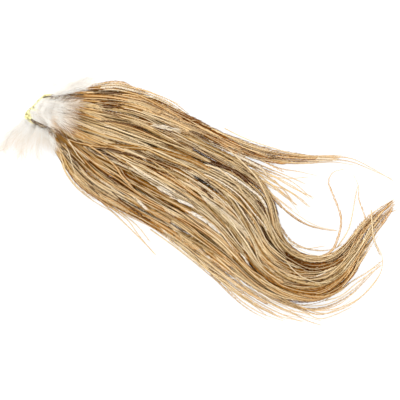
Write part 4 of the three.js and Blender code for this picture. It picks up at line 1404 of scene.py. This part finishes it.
    ("hook", [(0.103, 3.8), (0.122, 3.5), (0.143, 3.3)], 0.5, -0.25, 0.4),
    ("hook", [(0.113, 1.4), (0.143, 0.8), (0.17, 0.2), (0.203, 0.0), (0.242, -0.1)], 0.7, -0.35, 0.2),
    ("hook", [(0.145, 1.3), (0.18, 1.0), (0.212, 1.1), (0.253, 1.0), (0.285, 0.5)], 0.8, 1.1, -0.9),
    ("hook", [(0.168, 5.2), (0.185, 4.4), (0.2, 3.8), (0.235, 3.3), (0.273, 3.0)], 0.9, -0.4, 0.2),
    ("wisp", [(0.15, 1.2), (0.182, 1.0), (0.212, 0.8)], 0.5, -0.4, 0.3),
    ("wisp", [(0.147, 1.2), (0.168, 1.4), (0.188, 1.5), (0.208, 1.3), (0.228, 1.0)], 0.7, -0.35, 0.3),
    ("hook", [(0.085, 1.8), (0.12, 1.5), (0.158, 1.5), (0.188, 1.4), (0.223, 1.5)], 0.6, 1.1, 0.1),
    ("edge", [(0.365, -0.1), (0.403, 0.2), (0.443, 0.4), (0.475, 0.6), (0.5, 0.5)], 0.8, -0.45, 0.2),
    ("edge", [(0.398, -0.8), (0.425, -0.5), (0.453, -0.2), (0.47, -0.1)], 1.3, 1.1, -1.4),
    ("edge", [(0.623, 0.2), (0.647, 0.2), (0.67, 0.1), (0.695, 0.1), (0.723, 0.0)], 1.4, 0.8, 0.3),
    ("edge", [(0.5, 0.0), (0.515, 0.1), (0.532, 0.2)], 0.8, -0.4, 0.2),
    ("edge", [(0.545, -0.3), (0.562, -0.4), (0.578, -0.6)], 0.8, -0.35, 0.5),
    ("hook", [(0.25, 4.3), (0.28, 4.5), (0.32, 4.7), (0.362, 4.8), (0.395, 4.6)], 0.6, 1.4, -1.2),
    ("hook", [(0.823, 5.8), (0.84, 5.8), (0.855, 5.6), (0.868, 5.2), (0.878, 4.6)], 1.2, 0.75, 0.5),
    ("hook", [(0.938, 2.1), (0.958, 1.5), (0.978, 1.2), (0.995, 0.3)], 0.9, 0.8, 1.0),
    ("hook", [(0.945, 5.2), (0.965, 5.3), (0.983, 4.7), (0.995, 3.9)], 0.9, 0.75, 1.0),
    ("hook", [(0.945, 2.9), (0.963, 3.2), (0.978, 3.6), (0.99, 3.9)], 0.5, 0.1, 0.8),
]
TOP_LAYERS = (4.05, 4.35)
TOP_STEPS = 40
TOP_SINK = 2.2
TOP_LEAVES = 1.2
TOP_SLENDER = 0.6
TOP_LEAST_VANE = 0.8
TOP_FLATNESS = 0.5
TOP_UNEVENNESS = 0.6
TOP_STARTS_AT = 0.3
# half width in mm above which a strand has its barbs closer together
WIDE_STRAND = 0.8
WIDE_STRAND_SPACING = 1.2
NARROW_STRAND_SPACING = 1.7
# at the lower side of the root many feathers cross, and a strand has to lie over them all
CROWDED_LIFT = 1.7
CROWDED_FROM_ROOT = (20, 45)
CROWDED_BELOW_MIDDLE = (9, 13)


def height_on_top(plan, across, layer):
    """How high a strand lies over all the others, with both its ends sunk in between them."""
    from_root = np.linalg.norm(plan, axis=1)
    crowded = 1 - smooth(*CROWDED_FROM_ROOT, from_root)
    crowded = crowded * smooth(*CROWDED_BELOW_MIDDLE, -plan[:, 1])
    height = layer * layer_pitch(across, from_root) + CROWDED_LIFT * crowded
    from_end = np.arange(len(plan)) * STATION
    from_end = np.minimum(from_end, from_end[::-1])
    return height - TOP_SINK * (1 - smooth(0, 0.5 * RISE_LENGTH, from_end))


parts = []
for place, (sheet_name, course, half_vane, tone, warmth) in enumerate(TOP_STRANDS):
    number += 1
    along, lanes = np.array(course).T
    shares = np.linspace(along[0], along[-1], TOP_STEPS)
    plan = evenly(lane_places(sheet_name, np.interp(shares, along, lanes), shares), STATION)
    across = mix(*SHEETS[sheet_name][2], lanes.mean() / SHEETS[sheet_name][1])
    layer = mix(*TOP_LAYERS, place / len(TOP_STRANDS))
    line = np.column_stack([plan, height_on_top(plan, across, layer)])
    spacing = WIDE_STRAND_SPACING if half_vane > WIDE_STRAND else NARROW_STRAND_SPACING
    arrays = hackle_arrays(
        line, number, half_vane, TOP_LEAVES, spacing, TOP_SLENDER,
        least_vane=TOP_LEAST_VANE * half_vane, flatness=TOP_FLATNESS, uneven=TOP_UNEVENNESS,
        starts_at=TOP_STARTS_AT,
    )
    parts.append((*arrays, tone, warmth))
strands_on_top = joined_piece("strands_on_top", parts, hackle_look)


# Loose tips
# Thin ends that stand away from the bundle: over the upper side, in the fringe, inside and outside
# the hook and along the lower edge. Each is the last part of a feather whose root lies deep inside.
LOOSE_KINDS = {
    # tone and warmth
    "pale": (1.2, -0.1),
    "golden": (0.95, 0.15),
    "orange": (0.7, 0.9),
    "brown": (0.35, 0.6),
    "bay": (0.6, 0.55),
    "crossing": (1.3, -0.6),
}
LOOSE_TIPS = [
    # kind, height at its start, points along it in mm
    ("golden", 6.5, [(20, 14), (38, 15.5), (56, 15), (73, 9), (84, 1)]),
    ("golden", 6.0, [(36, 16), (52, 14.6), (66, 10.5), (78, 4), (88, -3.5)]),
    ("pale", 5.5, [(50, 13.5), (64, 10), (76, 4), (87, -2), (95, -8)]),
    ("golden", 4.5, [(12, 16.5), (26, 19.5), (38, 20), (50, 17.6)]),
    ("orange", 5.5, [(16, 15.5), (30, 18.5), (42, 17.5), (55, 15)]),
    ("pale", 3.0, [(16, 14.5), (30, 17), (46, 16), (60, 12.5), (74, 6)]),
    ("pale", 2.6, [(20, 15.5), (34, 17.6), (48, 16.8), (60, 13)]),
    ("pale", 2.6, [(24, 14), (38, 16.2), (50, 15), (62, 10.5)]),
    ("pale", 4.5, [(104, -11.5), (120, -19.5), (134, -23.5), (150, -25.5), (166, -26)]),
    ("golden", 5.0, [(112, -24), (126, -30), (138, -35), (150, -40), (158, -43.5)]),
    ("golden", 4.0, [(112, -27), (126, -33), (138, -39), (150, -46), (163, -52)]),
    ("pale", 4.5, [(108, -27), (122, -36), (134, -43), (147, -48), (157, -54)]),
    ("golden", 4.0, [(114, -31), (126, -38), (135, -45), (144, -49.5), (150, -55)]),
    ("pale", 3.5, [(110, -30), (122, -40), (132, -46.5), (142, -54), (150, -60)]),
    ("brown", 3.5, [(138, -41), (143, -46), (146.5, -50), (149, -54)]),
    ("pale", 3.0, [(120, -33), (133, -38), (146, -40), (160, -39)]),
    ("bay", 4.5, [(124, -36), (131, -44), (138, -53), (148, -62), (159, -69), (170, -72), (178, -73)]),
    ("golden", 4.0, [(116, -31), (126, -37), (133, -45), (141, -56), (152, -66), (163, -71)]),
    ("golden", 3.0, [(128, -40), (137, -44), (145, -50), (152, -57)]),
    ("pale", 4.5, [(118, -29), (130, -36.5), (141, -44), (152, -50.5), (161, -58)]),
    ("golden", 4.2, [(120, -32), (131, -40), (141, -47), (149, -53.5)]),
    ("pale", 4.0, [(124, -34), (134, -42), (143, -50), (153, -57)]),
    ("pale", 3.6, [(122, -31), (136, -37.5), (150, -45), (160, -52)]),
    ("golden", 3.6, [(119, -33), (129, -41.5), (137, -50), (143, -57)]),
    ("golden", 2.5, [(126, -36), (139, -43), (150, -50), (160, -58)]),
    ("golden", 4.0, [(132, -56), (138, -70), (147, -80.5), (158, -84), (170, -82.5)]),
    ("golden", 5.0, [(138, -72), (146, -84), (156, -89), (168, -88.5), (180, -82)]),
    ("pale", 3.0, [(178, -83), (185, -72), (187.5, -62), (189, -53), (191, -44)]),
    ("golden", 5.5, [(178, -90), (187, -79), (192, -71), (197.5, -63.8)]),
    ("golden", 4.5, [(170, -92), (182, -84), (193, -73), (204, -60.5), (213.5, -53)]),
    ("orange", 5.0, [(184, -90), (196, -80), (206, -67), (213, -56.5)]),
    ("brown", 6.0, [(192, -83), (198, -74), (204, -66), (209, -62.4), (215.3, -59.6)]),
    ("orange", 5.0, [(190, -92), (199, -80), (204, -72), (208.5, -66.5)]),
    ("crossing", 8.5, [(199.3, -60), (199.8, -69), (200.9, -78), (205, -88.5)]),
    ("golden", 2.5, [(140, -115), (156, -120), (172, -119), (188, -110), (200, -98)]),
    (
        "golden", 2.2, [
            (142, -117), (155.6, -121), (168, -125), (176, -123.8), (190, -117), (203, -103),
            (206, -97),
        ],
    ),
    ("pale", 2.0, [(144, -118), (157, -124), (166, -128.3), (174, -126.8), (187, -121)]),
    ("golden", 3.0, [(168, -115), (178, -112), (187, -105), (197, -98.9), (206.6, -91.4)]),
    ("pale", 2.6, [(170, -117), (180, -114), (190, -106), (198, -100.5), (206.5, -94)]),
    ("golden", 1.6, [(120, -108), (136, -118), (152, -126), (160, -130), (168, -132.5)]),
    ("pale", 1.6, [(96, -96), (112, -107), (128, -118), (144, -126), (156, -130.5)]),
    ("golden", 1.4, [(92, -94), (106, -105), (120, -116), (134, -124), (145, -129)]),
    ("pale", 1.2, [(84, -87), (98, -99), (112, -110), (124, -119), (133, -126)]),
    ("golden", 1.2, [(76, -80), (90, -92), (103, -103), (114, -112)]),
    ("pale", 1.6, [(26, -50), (36, -59), (46, -66.5), (52.5, -75.5), (63, -88)]),
    ("pale", 1.6, [(30, -54), (42, -62), (52, -70), (60, -80)]),
    ("pale", 2.4, [(2, -22), (6, -35), (13.5, -45.5), (24, -54), (36, -61)]),
    ("pale", 2.8, [(0.5, -18), (5, -32), (12, -44), (23, -53)]),
    ("golden", 1.4, [(60, -72), (74, -82), (88, -93), (100, -103), (110, -111)]),
]
LOOSE_HALF_VANE = 0.45
LOOSE_HALF_VANES = {"bay": 1.0, "crossing": 0.8}
LOOSE_LEAVES = 1.15
LOOSE_SLENDER = 0.9
LOOSE_STARTS_AT = 0.4
LOOSE_END_HEIGHT = 0.15
FALL_ROUNDNESS = 0.8
CROSSING_START = 0.12
parts = []
for order, (kind, height, points) in enumerate(LOOSE_TIPS):
    plan = evenly(line_through(points, np.linspace(0, 1, 60)), STATION)
    fall = np.linspace(1, 0, len(plan)) ** FALL_ROUNDNESS
    if kind == "crossing":
        # it rises over the end of the hook and comes down outside it
        fall = np.sin(np.pi * np.linspace(CROSSING_START, 1, len(plan)))
    line = np.column_stack([plan, LOOSE_END_HEIGHT + height * fall])
    arrays = hackle_arrays(
        line, 900 + order, LOOSE_HALF_VANES.get(kind, LOOSE_HALF_VANE), LOOSE_LEAVES,
        slender=LOOSE_SLENDER, starts_at=LOOSE_STARTS_AT,
    )
    parts.append((*arrays, *LOOSE_KINDS[kind]))
loose_tips = joined_piece("loose_tips", parts, hackle_look)


# The downy feathers
# Short soft feathers round the skin, white to peach, whose barbs don't hook together but float
# apart as fine wavy threads. Each stands on its own weak quill and takes the place of its solid.
DOWN_FEATHERS = [
    # root, middle, tip, height at the root and at the tip, width, thickness, warmth at the tips
    ((-7, 15), (0, 20.5), (12, 27.5), 1.5, 0.3, 6.4, 3.0, 0.1),
    ((2.5, 16.8), (13, 21), (28, 25.5), 1.5, 0.3, 7.4, 3.2, 0.15),
    ((-10, 8.5), (1, 8.5), (15, 8), 2.8, 8.0, 9.0, 3.0, 0.5),
    ((-13.5, 2.5), (-3, -0.5), (11, -2.5), 2.8, 8.0, 9.0, 3.0, 0.7),
    ((-20.5, -5), (-28, -12.5), (-33, -22.5), 1.5, 0.3, 8.4, 3.2, 0.4),
    ((-16, -7.5), (-20, -16), (-22, -26.5), 1.5, 0.3, 9.4, 3.6, 0.4),
    ((-9.5, -13), (-10.5, -19.5), (-11, -27.5), 1.5, 0.3, 9.8, 3.4, 0.15),
]
THREAD_COUNTS = [220, 220, 220, 220, 320, 240, 130]
THREAD_RADIUS = 0.055
THREAD_TAPER = 0.55
THREAD_STEPS = 5
# how far a thread bends, the widths and number of its waves, and how low it can sink
THREAD_BEND = 0.5
THREAD_WAVES = (0.15, 0.55)
WAVES_TO_A_THREAD = 1.6
THREAD_HEIGHT_WAVE = 0.3
LOWEST_THREAD = 0.12
THREAD_LIFT = 0.4
THREAD_SHADE = 0.5
DOWN_TONE = 0.55
DOWN_WHITES = [
    (0.0, (0.88, 0.81, 0.72)),
    (0.3, (0.96, 0.92, 0.85)),
    (0.6, (0.98, 0.96, 0.91)),
    (1.0, (0.99, 0.98, 0.95)),
]
DOWN_PEACH = (0.80, 0.58, 0.36, 1)

down_look, nodes, links, shader = new_look("white down")
shader.inputs["Roughness"].default_value = 0.75
shader.inputs["Specular IOR Level"].default_value = 0.15
shader.inputs["Sheen Weight"].default_value = 0.4
shader.inputs["Sheen Roughness"].default_value = 0.5
patch = ramp(mottle(220), [(0.35, (0.96, 0.94, 0.91)), (0.62, (1, 1, 1))])
whites = ramp(read_attribute("tone"), DOWN_WHITES)
tinted = blended(read_attribute("warmth"), whites, DOWN_PEACH)
links.new(blended(1.0, tinted, patch, "MULTIPLY"), shader.inputs["Base Color"])


def thread_lines(starts, headings, lengths, lift, climb, chances):
    """Places along fine wavy threads that bend and sink a little, and the way across each."""
    count = len(starts)
    t = np.linspace(0, 1, THREAD_STEPS + 1)
    bend = chances.uniform(-THREAD_BEND, THREAD_BEND, count)
    waves = chances.uniform(*THREAD_WAVES, count)
    phase = chances.uniform(0, 6.3, count)
    turn = headings[:, None] + bend[:, None] * t
    step = lengths[:, None] / THREAD_STEPS
    x = starts[:, :1] + np.cumsum(np.cos(turn) * step, 1) - np.cos(turn[:, :1]) * step
    y = starts[:, 1:2] + np.cumsum(np.sin(turn) * step, 1) - np.sin(turn[:, :1]) * step
    wave = waves[:, None] * np.sin(2 * math.pi * WAVES_TO_A_THREAD * t + phase[:, None]) * t
    x = x - np.sin(turn) * wave
    y = y + np.cos(turn) * wave
    rise = (chances.uniform(-1, 1, (count, 1)) * lift + climb * lengths[:, None]) * t
    up_and_down = THREAD_HEIGHT_WAVE * waves[:, None] * np.cos(9 * t + phase[:, None]) * t
    z = starts[:, 2:] + rise + up_and_down
    centre = np.stack([x, y, np.maximum(z, LOWEST_THREAD)], -1)
    across = np.stack([-np.sin(turn), np.cos(turn), np.zeros_like(turn)], -1)
    return centre, across


def thread_arrays(starts, headings, lengths, chances, lift=THREAD_LIFT, climb=0.0):
    """Fine wavy threads, each a closed three-sided taper."""
    count = len(starts)
    t = np.linspace(0, 1, THREAD_STEPS + 1)
    centre, across = thread_lines(starts, headings, lengths, lift, climb, chances)
    corners = 2 * math.pi * np.arange(3) / 3
    width = (THREAD_RADIUS * (1 - THREAD_TAPER * t[:-1]))[None, :, None, None]
    ring = centre[:, :-1, None] + width * (
        np.cos(corners)[None, None, :, None] * across[:, :-1, None]
        + np.sin(corners)[None, None, :, None] * UP
    )
    per_thread = 3 * THREAD_STEPS + 1
    points = np.concatenate([ring.reshape(count, -1, 3), centre[:, -1:]], 1)
    faces = [(2, 1, 0)]
    for ring_start in range(0, 3 * (THREAD_STEPS - 1), 3):
        for corner in range(3):
            a, b = ring_start + corner, ring_start + (corner + 1) % 3
            faces += [(a, b, b + 3), (a, b + 3, a + 3)]
    last = 3 * (THREAD_STEPS - 1)
    faces += [(last + corner, last + (corner + 1) % 3, per_thread - 1) for corner in range(3)]
    faces = (np.arange(count)[:, None, None] * per_thread + np.array(faces)[None]).reshape(-1, 3)
    out = np.tile(np.append(np.repeat(t[:-1], 3), 1.0), count)
    shade = np.repeat(chances.uniform(-THREAD_SHADE, THREAD_SHADE, count), per_thread)
    return points.reshape(-1, 3), faces, out, shade


# how far out the threads of a downy feather stand in degrees, and how they differ in length
THREAD_ANGLES = (12, 58)
THREAD_LENGTHS = (0.6, 1.2)
THREAD_LENGTH_SHARE = 0.75
THREAD_LEVELS = (0.1, 0.95)
DOWN_TIP_SHARE = 0.97
DOWN_TIP_WARMTH = (0.45, 1.1)


def down_arrays(root, middle, tip, root_height, tip_height, width, thickness, order):
    """The threads of one downy feather, from both sides of its quill."""
    chances = np.random.default_rng(7000 + order)
    count = THREAD_COUNTS[order - 1]
    course = [root, middle, tip]
    shares = chances.random(count) ** 0.8 * DOWN_TIP_SHARE
    quill = line_through(course, shares)
    a_little_further = line_through(course, np.minimum(shares + 0.02, 1))
    ahead = a_little_further - line_through(course, np.maximum(shares - 0.02, 0))
    heading = np.arctan2(ahead[:, 1], ahead[:, 0])
    spread = 0.3 + 0.7 * np.sin(math.pi * (0.1 + 0.75 * shares)) ** 0.8
    angle = np.radians(chances.uniform(*THREAD_ANGLES, count))
    sign = np.where(chances.random(count) < 0.5, -1.0, 1.0)
    lengths = THREAD_LENGTH_SHARE * width * spread / np.sin(angle + 0.35)
    lengths = lengths * chances.uniform(*THREAD_LENGTHS, count)
    level = mix(root_height, tip_height, shares)
    level = level + thickness * chances.uniform(*THREAD_LEVELS, count)
    starts = np.column_stack([quill, level])
    return thread_arrays(starts, heading + sign * angle, lengths, chances)


def tint_tips(piece, warm, reach, share):
    """Turns the down from white to peach towards the tips of its threads."""
    tint = warm * smooth(*reach, share).astype(np.float32)
    piece.data.attributes["warmth"].data.foreach_set("value", tint)


for order, (root, middle, tip, low, high, width, thickness, warm) in enumerate(DOWN_FEATHERS, 1):
    points, faces, out, shade = down_arrays(root, middle, tip, low, high, width, thickness, order)
    toward = np.array(tip, float) - np.array(root, float)
    along = (points[:, :2] - np.array(root)) @ toward / (toward @ toward)
    arrays = (points, faces, along, out, shade, DOWN_TONE, 0)
    piece = joined_piece(f"down_{order}", [arrays], down_look, smoothed=False)
    tint_tips(piece, warm, DOWN_TIP_WARMTH, along)
    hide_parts(f"down_feather_{order}")


# The loose down
# Fluff from the bases of the hackles: it hides most of the skin, lies over the first of the quills
# in the middle, and fans out above and below them.
TUFTS = [
    # name, line on which its threads start,
    # first and last heading, lengths, heights, climb, how many threads, warmth at their tips
    (
        "down_over_roots", [(-8, 9.5), (-12.5, 4.5)],
        (4, -34), (9, 16), (2.5, 5.5), 0.0, 420, 0.1,
    ),
    (
        "down_over_quills", [(-6, 8), (-9, 1.5), (-5, -3)],
        (-4, -38), (9, 16), (5.5, 8.5), 0.0, 520, 0.5,
    ),
    (
        "down_in_front", [(1, 7.5), (-1, 2), (0.5, -3.5)],
        (-4, -34), (9, 21), (7.0, 9.2), 0.0, 400, 0.8,
    ),
    (
        "down_low_roots", [(-15.5, 3), (-13.5, -2.5), (-11, -5)],
        (-10, -40), (7, 14), (3.0, 5.0), 0.3, 460, 0.3,
    ),
    (
        "down_lower_left", [(-20, -2), (-16, -5), (-10, -8)],
        (-132, -104), (14, 26), (0.6, 3.0), 0.0, 310, 0.7,
    ),
    (
        "down_lower_middle", [(-14, -5), (-8, -9), (-3, -11)],
        (-112, -82), (11, 21), (0.8, 3.6), 0.0, 120, 0.3,
    ),
    (
        "down_lower_root", [(-11, -6), (-6, -9.5), (-1, -12.5)],
        (-112, -74), (6, 14), (4.0, 9.0), 0.0, 160, 0.4,
    ),
    (
        "down_low_edge", [(-10.5, -7), (-7, -10.5), (-3.5, -14.5)],
        (-112, -70), (5, 12), (5.0, 7.5), 0.0, 240, 0.5,
    ),
    (
        "down_at_edge", [(-4.5, -12), (-2.4, -15), (-1.2, -18.5)],
        (-86, -68), (4, 8), (5.5, 8.0), 0.0, 260, 0.0,
    ),
    (
        "down_peach", [(-5, -1), (-5.5, -3.5), (-4, -6)],
        (-10, -36), (5, 11), (8.4, 9.3), 0.0, 170, 2.2,
    ),
    (
        "down_along_brow", [(-3, 13.2), (3, 13.8), (10, 14.3)],
        (3, 14), (5, 9), (6.6, 7.8), 0.0, 260, 0.1,
    ),
    (
        "down_upper", [(-2, 13.5), (6, 15), (14, 16)],
        (18, 46), (9, 17), (1.0, 5.0), 0.0, 320, 0.1,
    ),
    (
        "down_upper_right", [(10, 15.5), (20, 16.5)],
        (10, 38), (6, 13), (3.0, 7.0), 0.0, 200, 0.35,
    ),
    (
        "down_over_brow", [(0, 14.8), (9, 15.6), (17, 16.2)],
        (4, 24), (6, 11), (6.0, 8.0), 0.0, 220, 0.15,
    ),
]
TUFT_SPREAD = 0.8
TUFT_HEADING_SPREAD = 0.16
TUFT_LIFT = 0.9
TUFT_TIP_WARMTH = (0.3, 1.0)
for order, (name, starts, headings, lengths, heights, climb, count, warm) in enumerate(TUFTS):
    chances = np.random.default_rng(8000 + order)
    shares = chances.random(count)
    plan = line_through(starts, shares) + chances.normal(0, TUFT_SPREAD, (count, 2))
    level = chances.uniform(*heights, count)
    heading = np.radians(mix(*headings, shares))
    heading = heading + chances.normal(0, TUFT_HEADING_SPREAD, count)
    reach = chances.uniform(*lengths, count)
    points, faces, out, shade = thread_arrays(
        np.column_stack([plan, level]), heading, reach, chances, TUFT_LIFT, climb
    )
    arrays = (points, faces, out, out, shade, DOWN_TONE, 0)
    piece = joined_piece(name, [arrays], down_look, smoothed=False)
    tint_tips(piece, warm, TUFT_TIP_WARMTH, out)


# The dried skin
# A patch of the bird's skin, cut off with the feathers and dried hard: thin, yellow and half
# clear, with bumps where the quills go in, and a rim that has curled and thickened as it dried.
SKIN_OUTLINE = [
    (-6.5, 13), (3, 13.5), (12, 10), (17, 1), (13, -8), (5, -15), (-3, -12.5), (-12, -6.5),
    (-18.2, -3), (-19.2, 0.5), (-17, 3.4), (-13.8, 6.2), (-11.4, 9),
]
SKIN_POINTS = 96
RIM_STEPS = [0.8, 1.2, 2.0]
SKIN_DEPTH = 0.9
SKIN_LIFT = 0.2
SKIN_FLOOR = 0.02
RIM_CURL = 1.1
RIM_WIDTH = 1.3
BUMP_HEIGHT = 0.22
SMALL_BUMP_HEIGHT = 0.18
RIM_LUMPS = [
    # place, radius and height
    (-17.6, 0.2, 1.3, 1.3),
    (-15.2, 1.6, 1.0, 0.8),
    (-7.2, 11.4, 1.6, 1.1),
    (-11.8, 7.6, 1.2, 0.6),
]
SKIN_YELLOW = (0.86, 0.80, 0.40, 1)
SKIN_OLIVE = (0.30, 0.27, 0.10, 1)

closed = [*SKIN_OUTLINE, SKIN_OUTLINE[0]]
rim = line_through(closed, np.arange(SKIN_POINTS) / SKIN_POINTS)
bpy.ops.object.select_all(action="DESELECT")
bpy.ops.mesh.primitive_circle_add(vertices=SKIN_POINTS, radius=1, fill_type="NGON")
skin = bpy.context.object
skin.name = "dried_skin"
for vertex, place in zip(skin.data.vertices, rim):
    vertex.co = (place[0] * MM, place[1] * MM, 0)
bpy.ops.object.mode_set(mode="EDIT")
bpy.ops.mesh.select_all(action="SELECT")
for step in RIM_STEPS:
    bpy.ops.mesh.inset(thickness=step * MM)
bpy.ops.mesh.poke()
bpy.ops.mesh.subdivide(number_cuts=2)
bpy.ops.mesh.select_all(action="SELECT")
bpy.ops.mesh.normals_make_consistent(inside=False)
bpy.ops.object.mode_set(mode="OBJECT")


def skin_height(x, y):
    """How high the skin stands at a place: bumpy all over, with a curled and lumpy rim."""
    from_rim = np.min(np.hypot(rim[:, 0] - x, rim[:, 1] - y))
    curl = RIM_CURL * math.exp(-((from_rim / RIM_WIDTH) ** 2))
    curl *= 0.6 + 0.4 * math.sin(1.7 * x + 2.3 * y)
    bumps = BUMP_HEIGHT * math.sin(2.4 * x + 0.5 * y) * math.sin(2.6 * y)
    bumps += SMALL_BUMP_HEIGHT * math.sin(4.1 * x - 3.2 * y) * math.sin(3.7 * y + 1)
    lumps = sum(
        height * math.exp(-((x - lump_x) ** 2 + (y - lump_y) ** 2) / radius**2)
        for lump_x, lump_y, radius, height in RIM_LUMPS
    )
    return curl + bumps + lumps + SKIN_LIFT


for vertex in skin.data.vertices:
    vertex.co.z = skin_height(vertex.co.x / MM, vertex.co.y / MM) * MM
solid = skin.modifiers.new("thickness", "SOLIDIFY")
solid.thickness = SKIN_DEPTH * MM
solid.offset = 1
bpy.ops.object.modifier_apply(modifier="thickness")
round_off = skin.modifiers.new("rounding", "SUBSURF")
round_off.levels = 1
round_off.render_levels = 1
bpy.ops.object.modifier_apply(modifier="rounding")
for vertex in skin.data.vertices:
    vertex.co.z = max(vertex.co.z, SKIN_FLOOR * MM)
bpy.ops.object.shade_smooth()

skin_look, nodes, links, shader = new_look("dried skin")
shader.inputs["Roughness"].default_value = 0.38
shader.inputs["Subsurface Weight"].default_value = 0.25
shader.inputs["Subsurface Radius"].default_value = (1.2 * MM, 0.7 * MM, 0.3 * MM)
shader.inputs["Subsurface Scale"].default_value = 1.0
blotches = ramp(mottle(800, 5.0), [(0.47, (0, 0, 0)), (0.62, (1, 1, 1))])
links.new(blended(blotches, SKIN_YELLOW, SKIN_OLIVE), shader.inputs["Base Color"])
pores = nodes.new("ShaderNodeBump")
pores.inputs["Strength"].default_value = 0.5
pores.inputs["Distance"].default_value = 0.2 * MM
links.new(mottle(1500, 4.0), pores.inputs["Height"])
links.new(pores.outputs["Normal"], shader.inputs["Normal"])
skin.data.materials.append(skin_look)
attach(skin, "root")
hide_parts("skin_patch")


# The dark quills
# Bare quills at the two sides of the root, dark brown or grey and here and there still wrapped in
# bits of dried sheath: long ones at the upper side and a short thick row at the lower side.
DARK_QUILLS = [
    # points along it, height at its root and end, radius at its root and end, greyness, chips
    ([(-7.6, 11.2), (0.6, 12), (6.3, 12.7), (13, 13.1), (18, 13)], 5.2, 9.0, 0.34, 0.5, 0.0, 8),
    ([(-3.5, 10.3), (1.3, 10.7), (6.9, 11.2), (12, 11.5)], 6.2, 8.6, 0.24, 0.28, 0.6, 4),
    ([(22.5, 17.3), (28, 17.5), (34, 17.2)], 6.0, 6.2, 0.34, 0.2, 0.2, 4),
    ([(24, 14.8), (32, 15.3), (42, 15.2)], 7.5, 7.5, 0.36, 0.2, 0.1, 2),
    ([(-15.1, -2.8), (-10.5, -5.2), (-5.2, -7.9)], 4.2, 9.2, 0.6, 0.5, 0.0, 50),
    ([(-14.6, -3.5), (-12, -4.9), (-9.6, -5.9), (-6.4, -7.9)], 4.4, 9.3, 0.4, 0.4, 0.45, 36),
    ([(-14.2, -4.1), (-11.2, -5.7), (-7.4, -7.9)], 4.6, 9.0, 0.34, 0.4, 0.1, 30),
    ([(-3.6, -8.2), (-1.2, -9.8), (0.8, -11.6)], 8.6, 8.8, 0.26, 0.22, 0.5, 6),
    ([(-3.0, -9.6), (-0.6, -11.6), (0.8, -14.2)], 8.2, 8.0, 0.24, 0.2, 0.6, 4),
]
QUILL_BROWN = (0.065, 0.027, 0.006, 1)
SHEATH_GREY = (0.66, 0.57, 0.42, 1)
# how strongly grey bits of sheath stand out from the brown quill
SHEATH_CONTRAST = 2.6
QUILL_STATION = 0.8
QUILL_WANDER = 0.03
CHIP_SIZE = 0.36
CHIP_SPREAD = 0.8
CHIP_GREYNESS = (-0.2, 1.1)

quill_look, nodes, links, shader = new_look("dark quill")
shader.inputs["Roughness"].default_value = 0.5
shader.inputs["Specular IOR Level"].default_value = 0.08
sheath = arithmetic("SUBTRACT", mottle(900, 4.0), 0.5)
sheath = arithmetic("MULTIPLY", sheath, SHEATH_CONTRAST)
sheath = arithmetic("ADD", sheath, read_attribute("tone"))
links.new(blended(sheath, QUILL_BROWN, SHEATH_GREY), shader.inputs["Base Color"])

CHIP_FACES = np.array([(0, 2, 1), (0, 1, 3), (1, 2, 3), (2, 0, 3)])


def chip_arrays(line, radius, count, chances):
    """Small four-faced chips of dried sheath that cling round a quill."""
    at = chances.integers(1, len(line) - 1, count)
    centre = line[at] + chances.normal(0, 1, (count, 3)) * radius * CHIP_SPREAD
    points = centre[:, None] + chances.normal(0, CHIP_SIZE, (count, 4, 3))
    edges = points[:, 1:] - points[:, :1]
    inside_out = np.einsum("ij,ij->i", np.cross(edges[:, 0], edges[:, 1]), edges[:, 2]) < 0
    points[inside_out, 0], points[inside_out, 1] = (
        points[inside_out, 1].copy(), points[inside_out, 0].copy()
    )
    faces = (np.arange(count)[:, None, None] * 4 + CHIP_FACES[None]).reshape(-1, 3)
    zeros = np.zeros(4 * count)
    return points.reshape(-1, 3), faces, zeros, zeros


parts = []
for order, (points, low, high, thick, thin, greyness, chips) in enumerate(DARK_QUILLS):
    chances = np.random.default_rng(9000 + order)
    plan = evenly(line_through(points, np.linspace(0, 1, 40)), QUILL_STATION)
    height = mix(low, high, smooth(0, 1, np.linspace(0, 1, len(plan))))
    line = np.column_stack([plan, height])
    line = line + np.cumsum(chances.normal(0, QUILL_WANDER, line.shape), 0)
    parts.append((*quill_arrays(line, directions(line), thick, thin, every=1), 0, greyness, 0))
    greynesses = np.repeat(chances.uniform(*CHIP_GREYNESS, chips), 4)
    parts.append((*chip_arrays(line, thick, chips, chances), 0, greynesses, 0))
dark_quills = joined_piece("dark_quills", parts, quill_look)
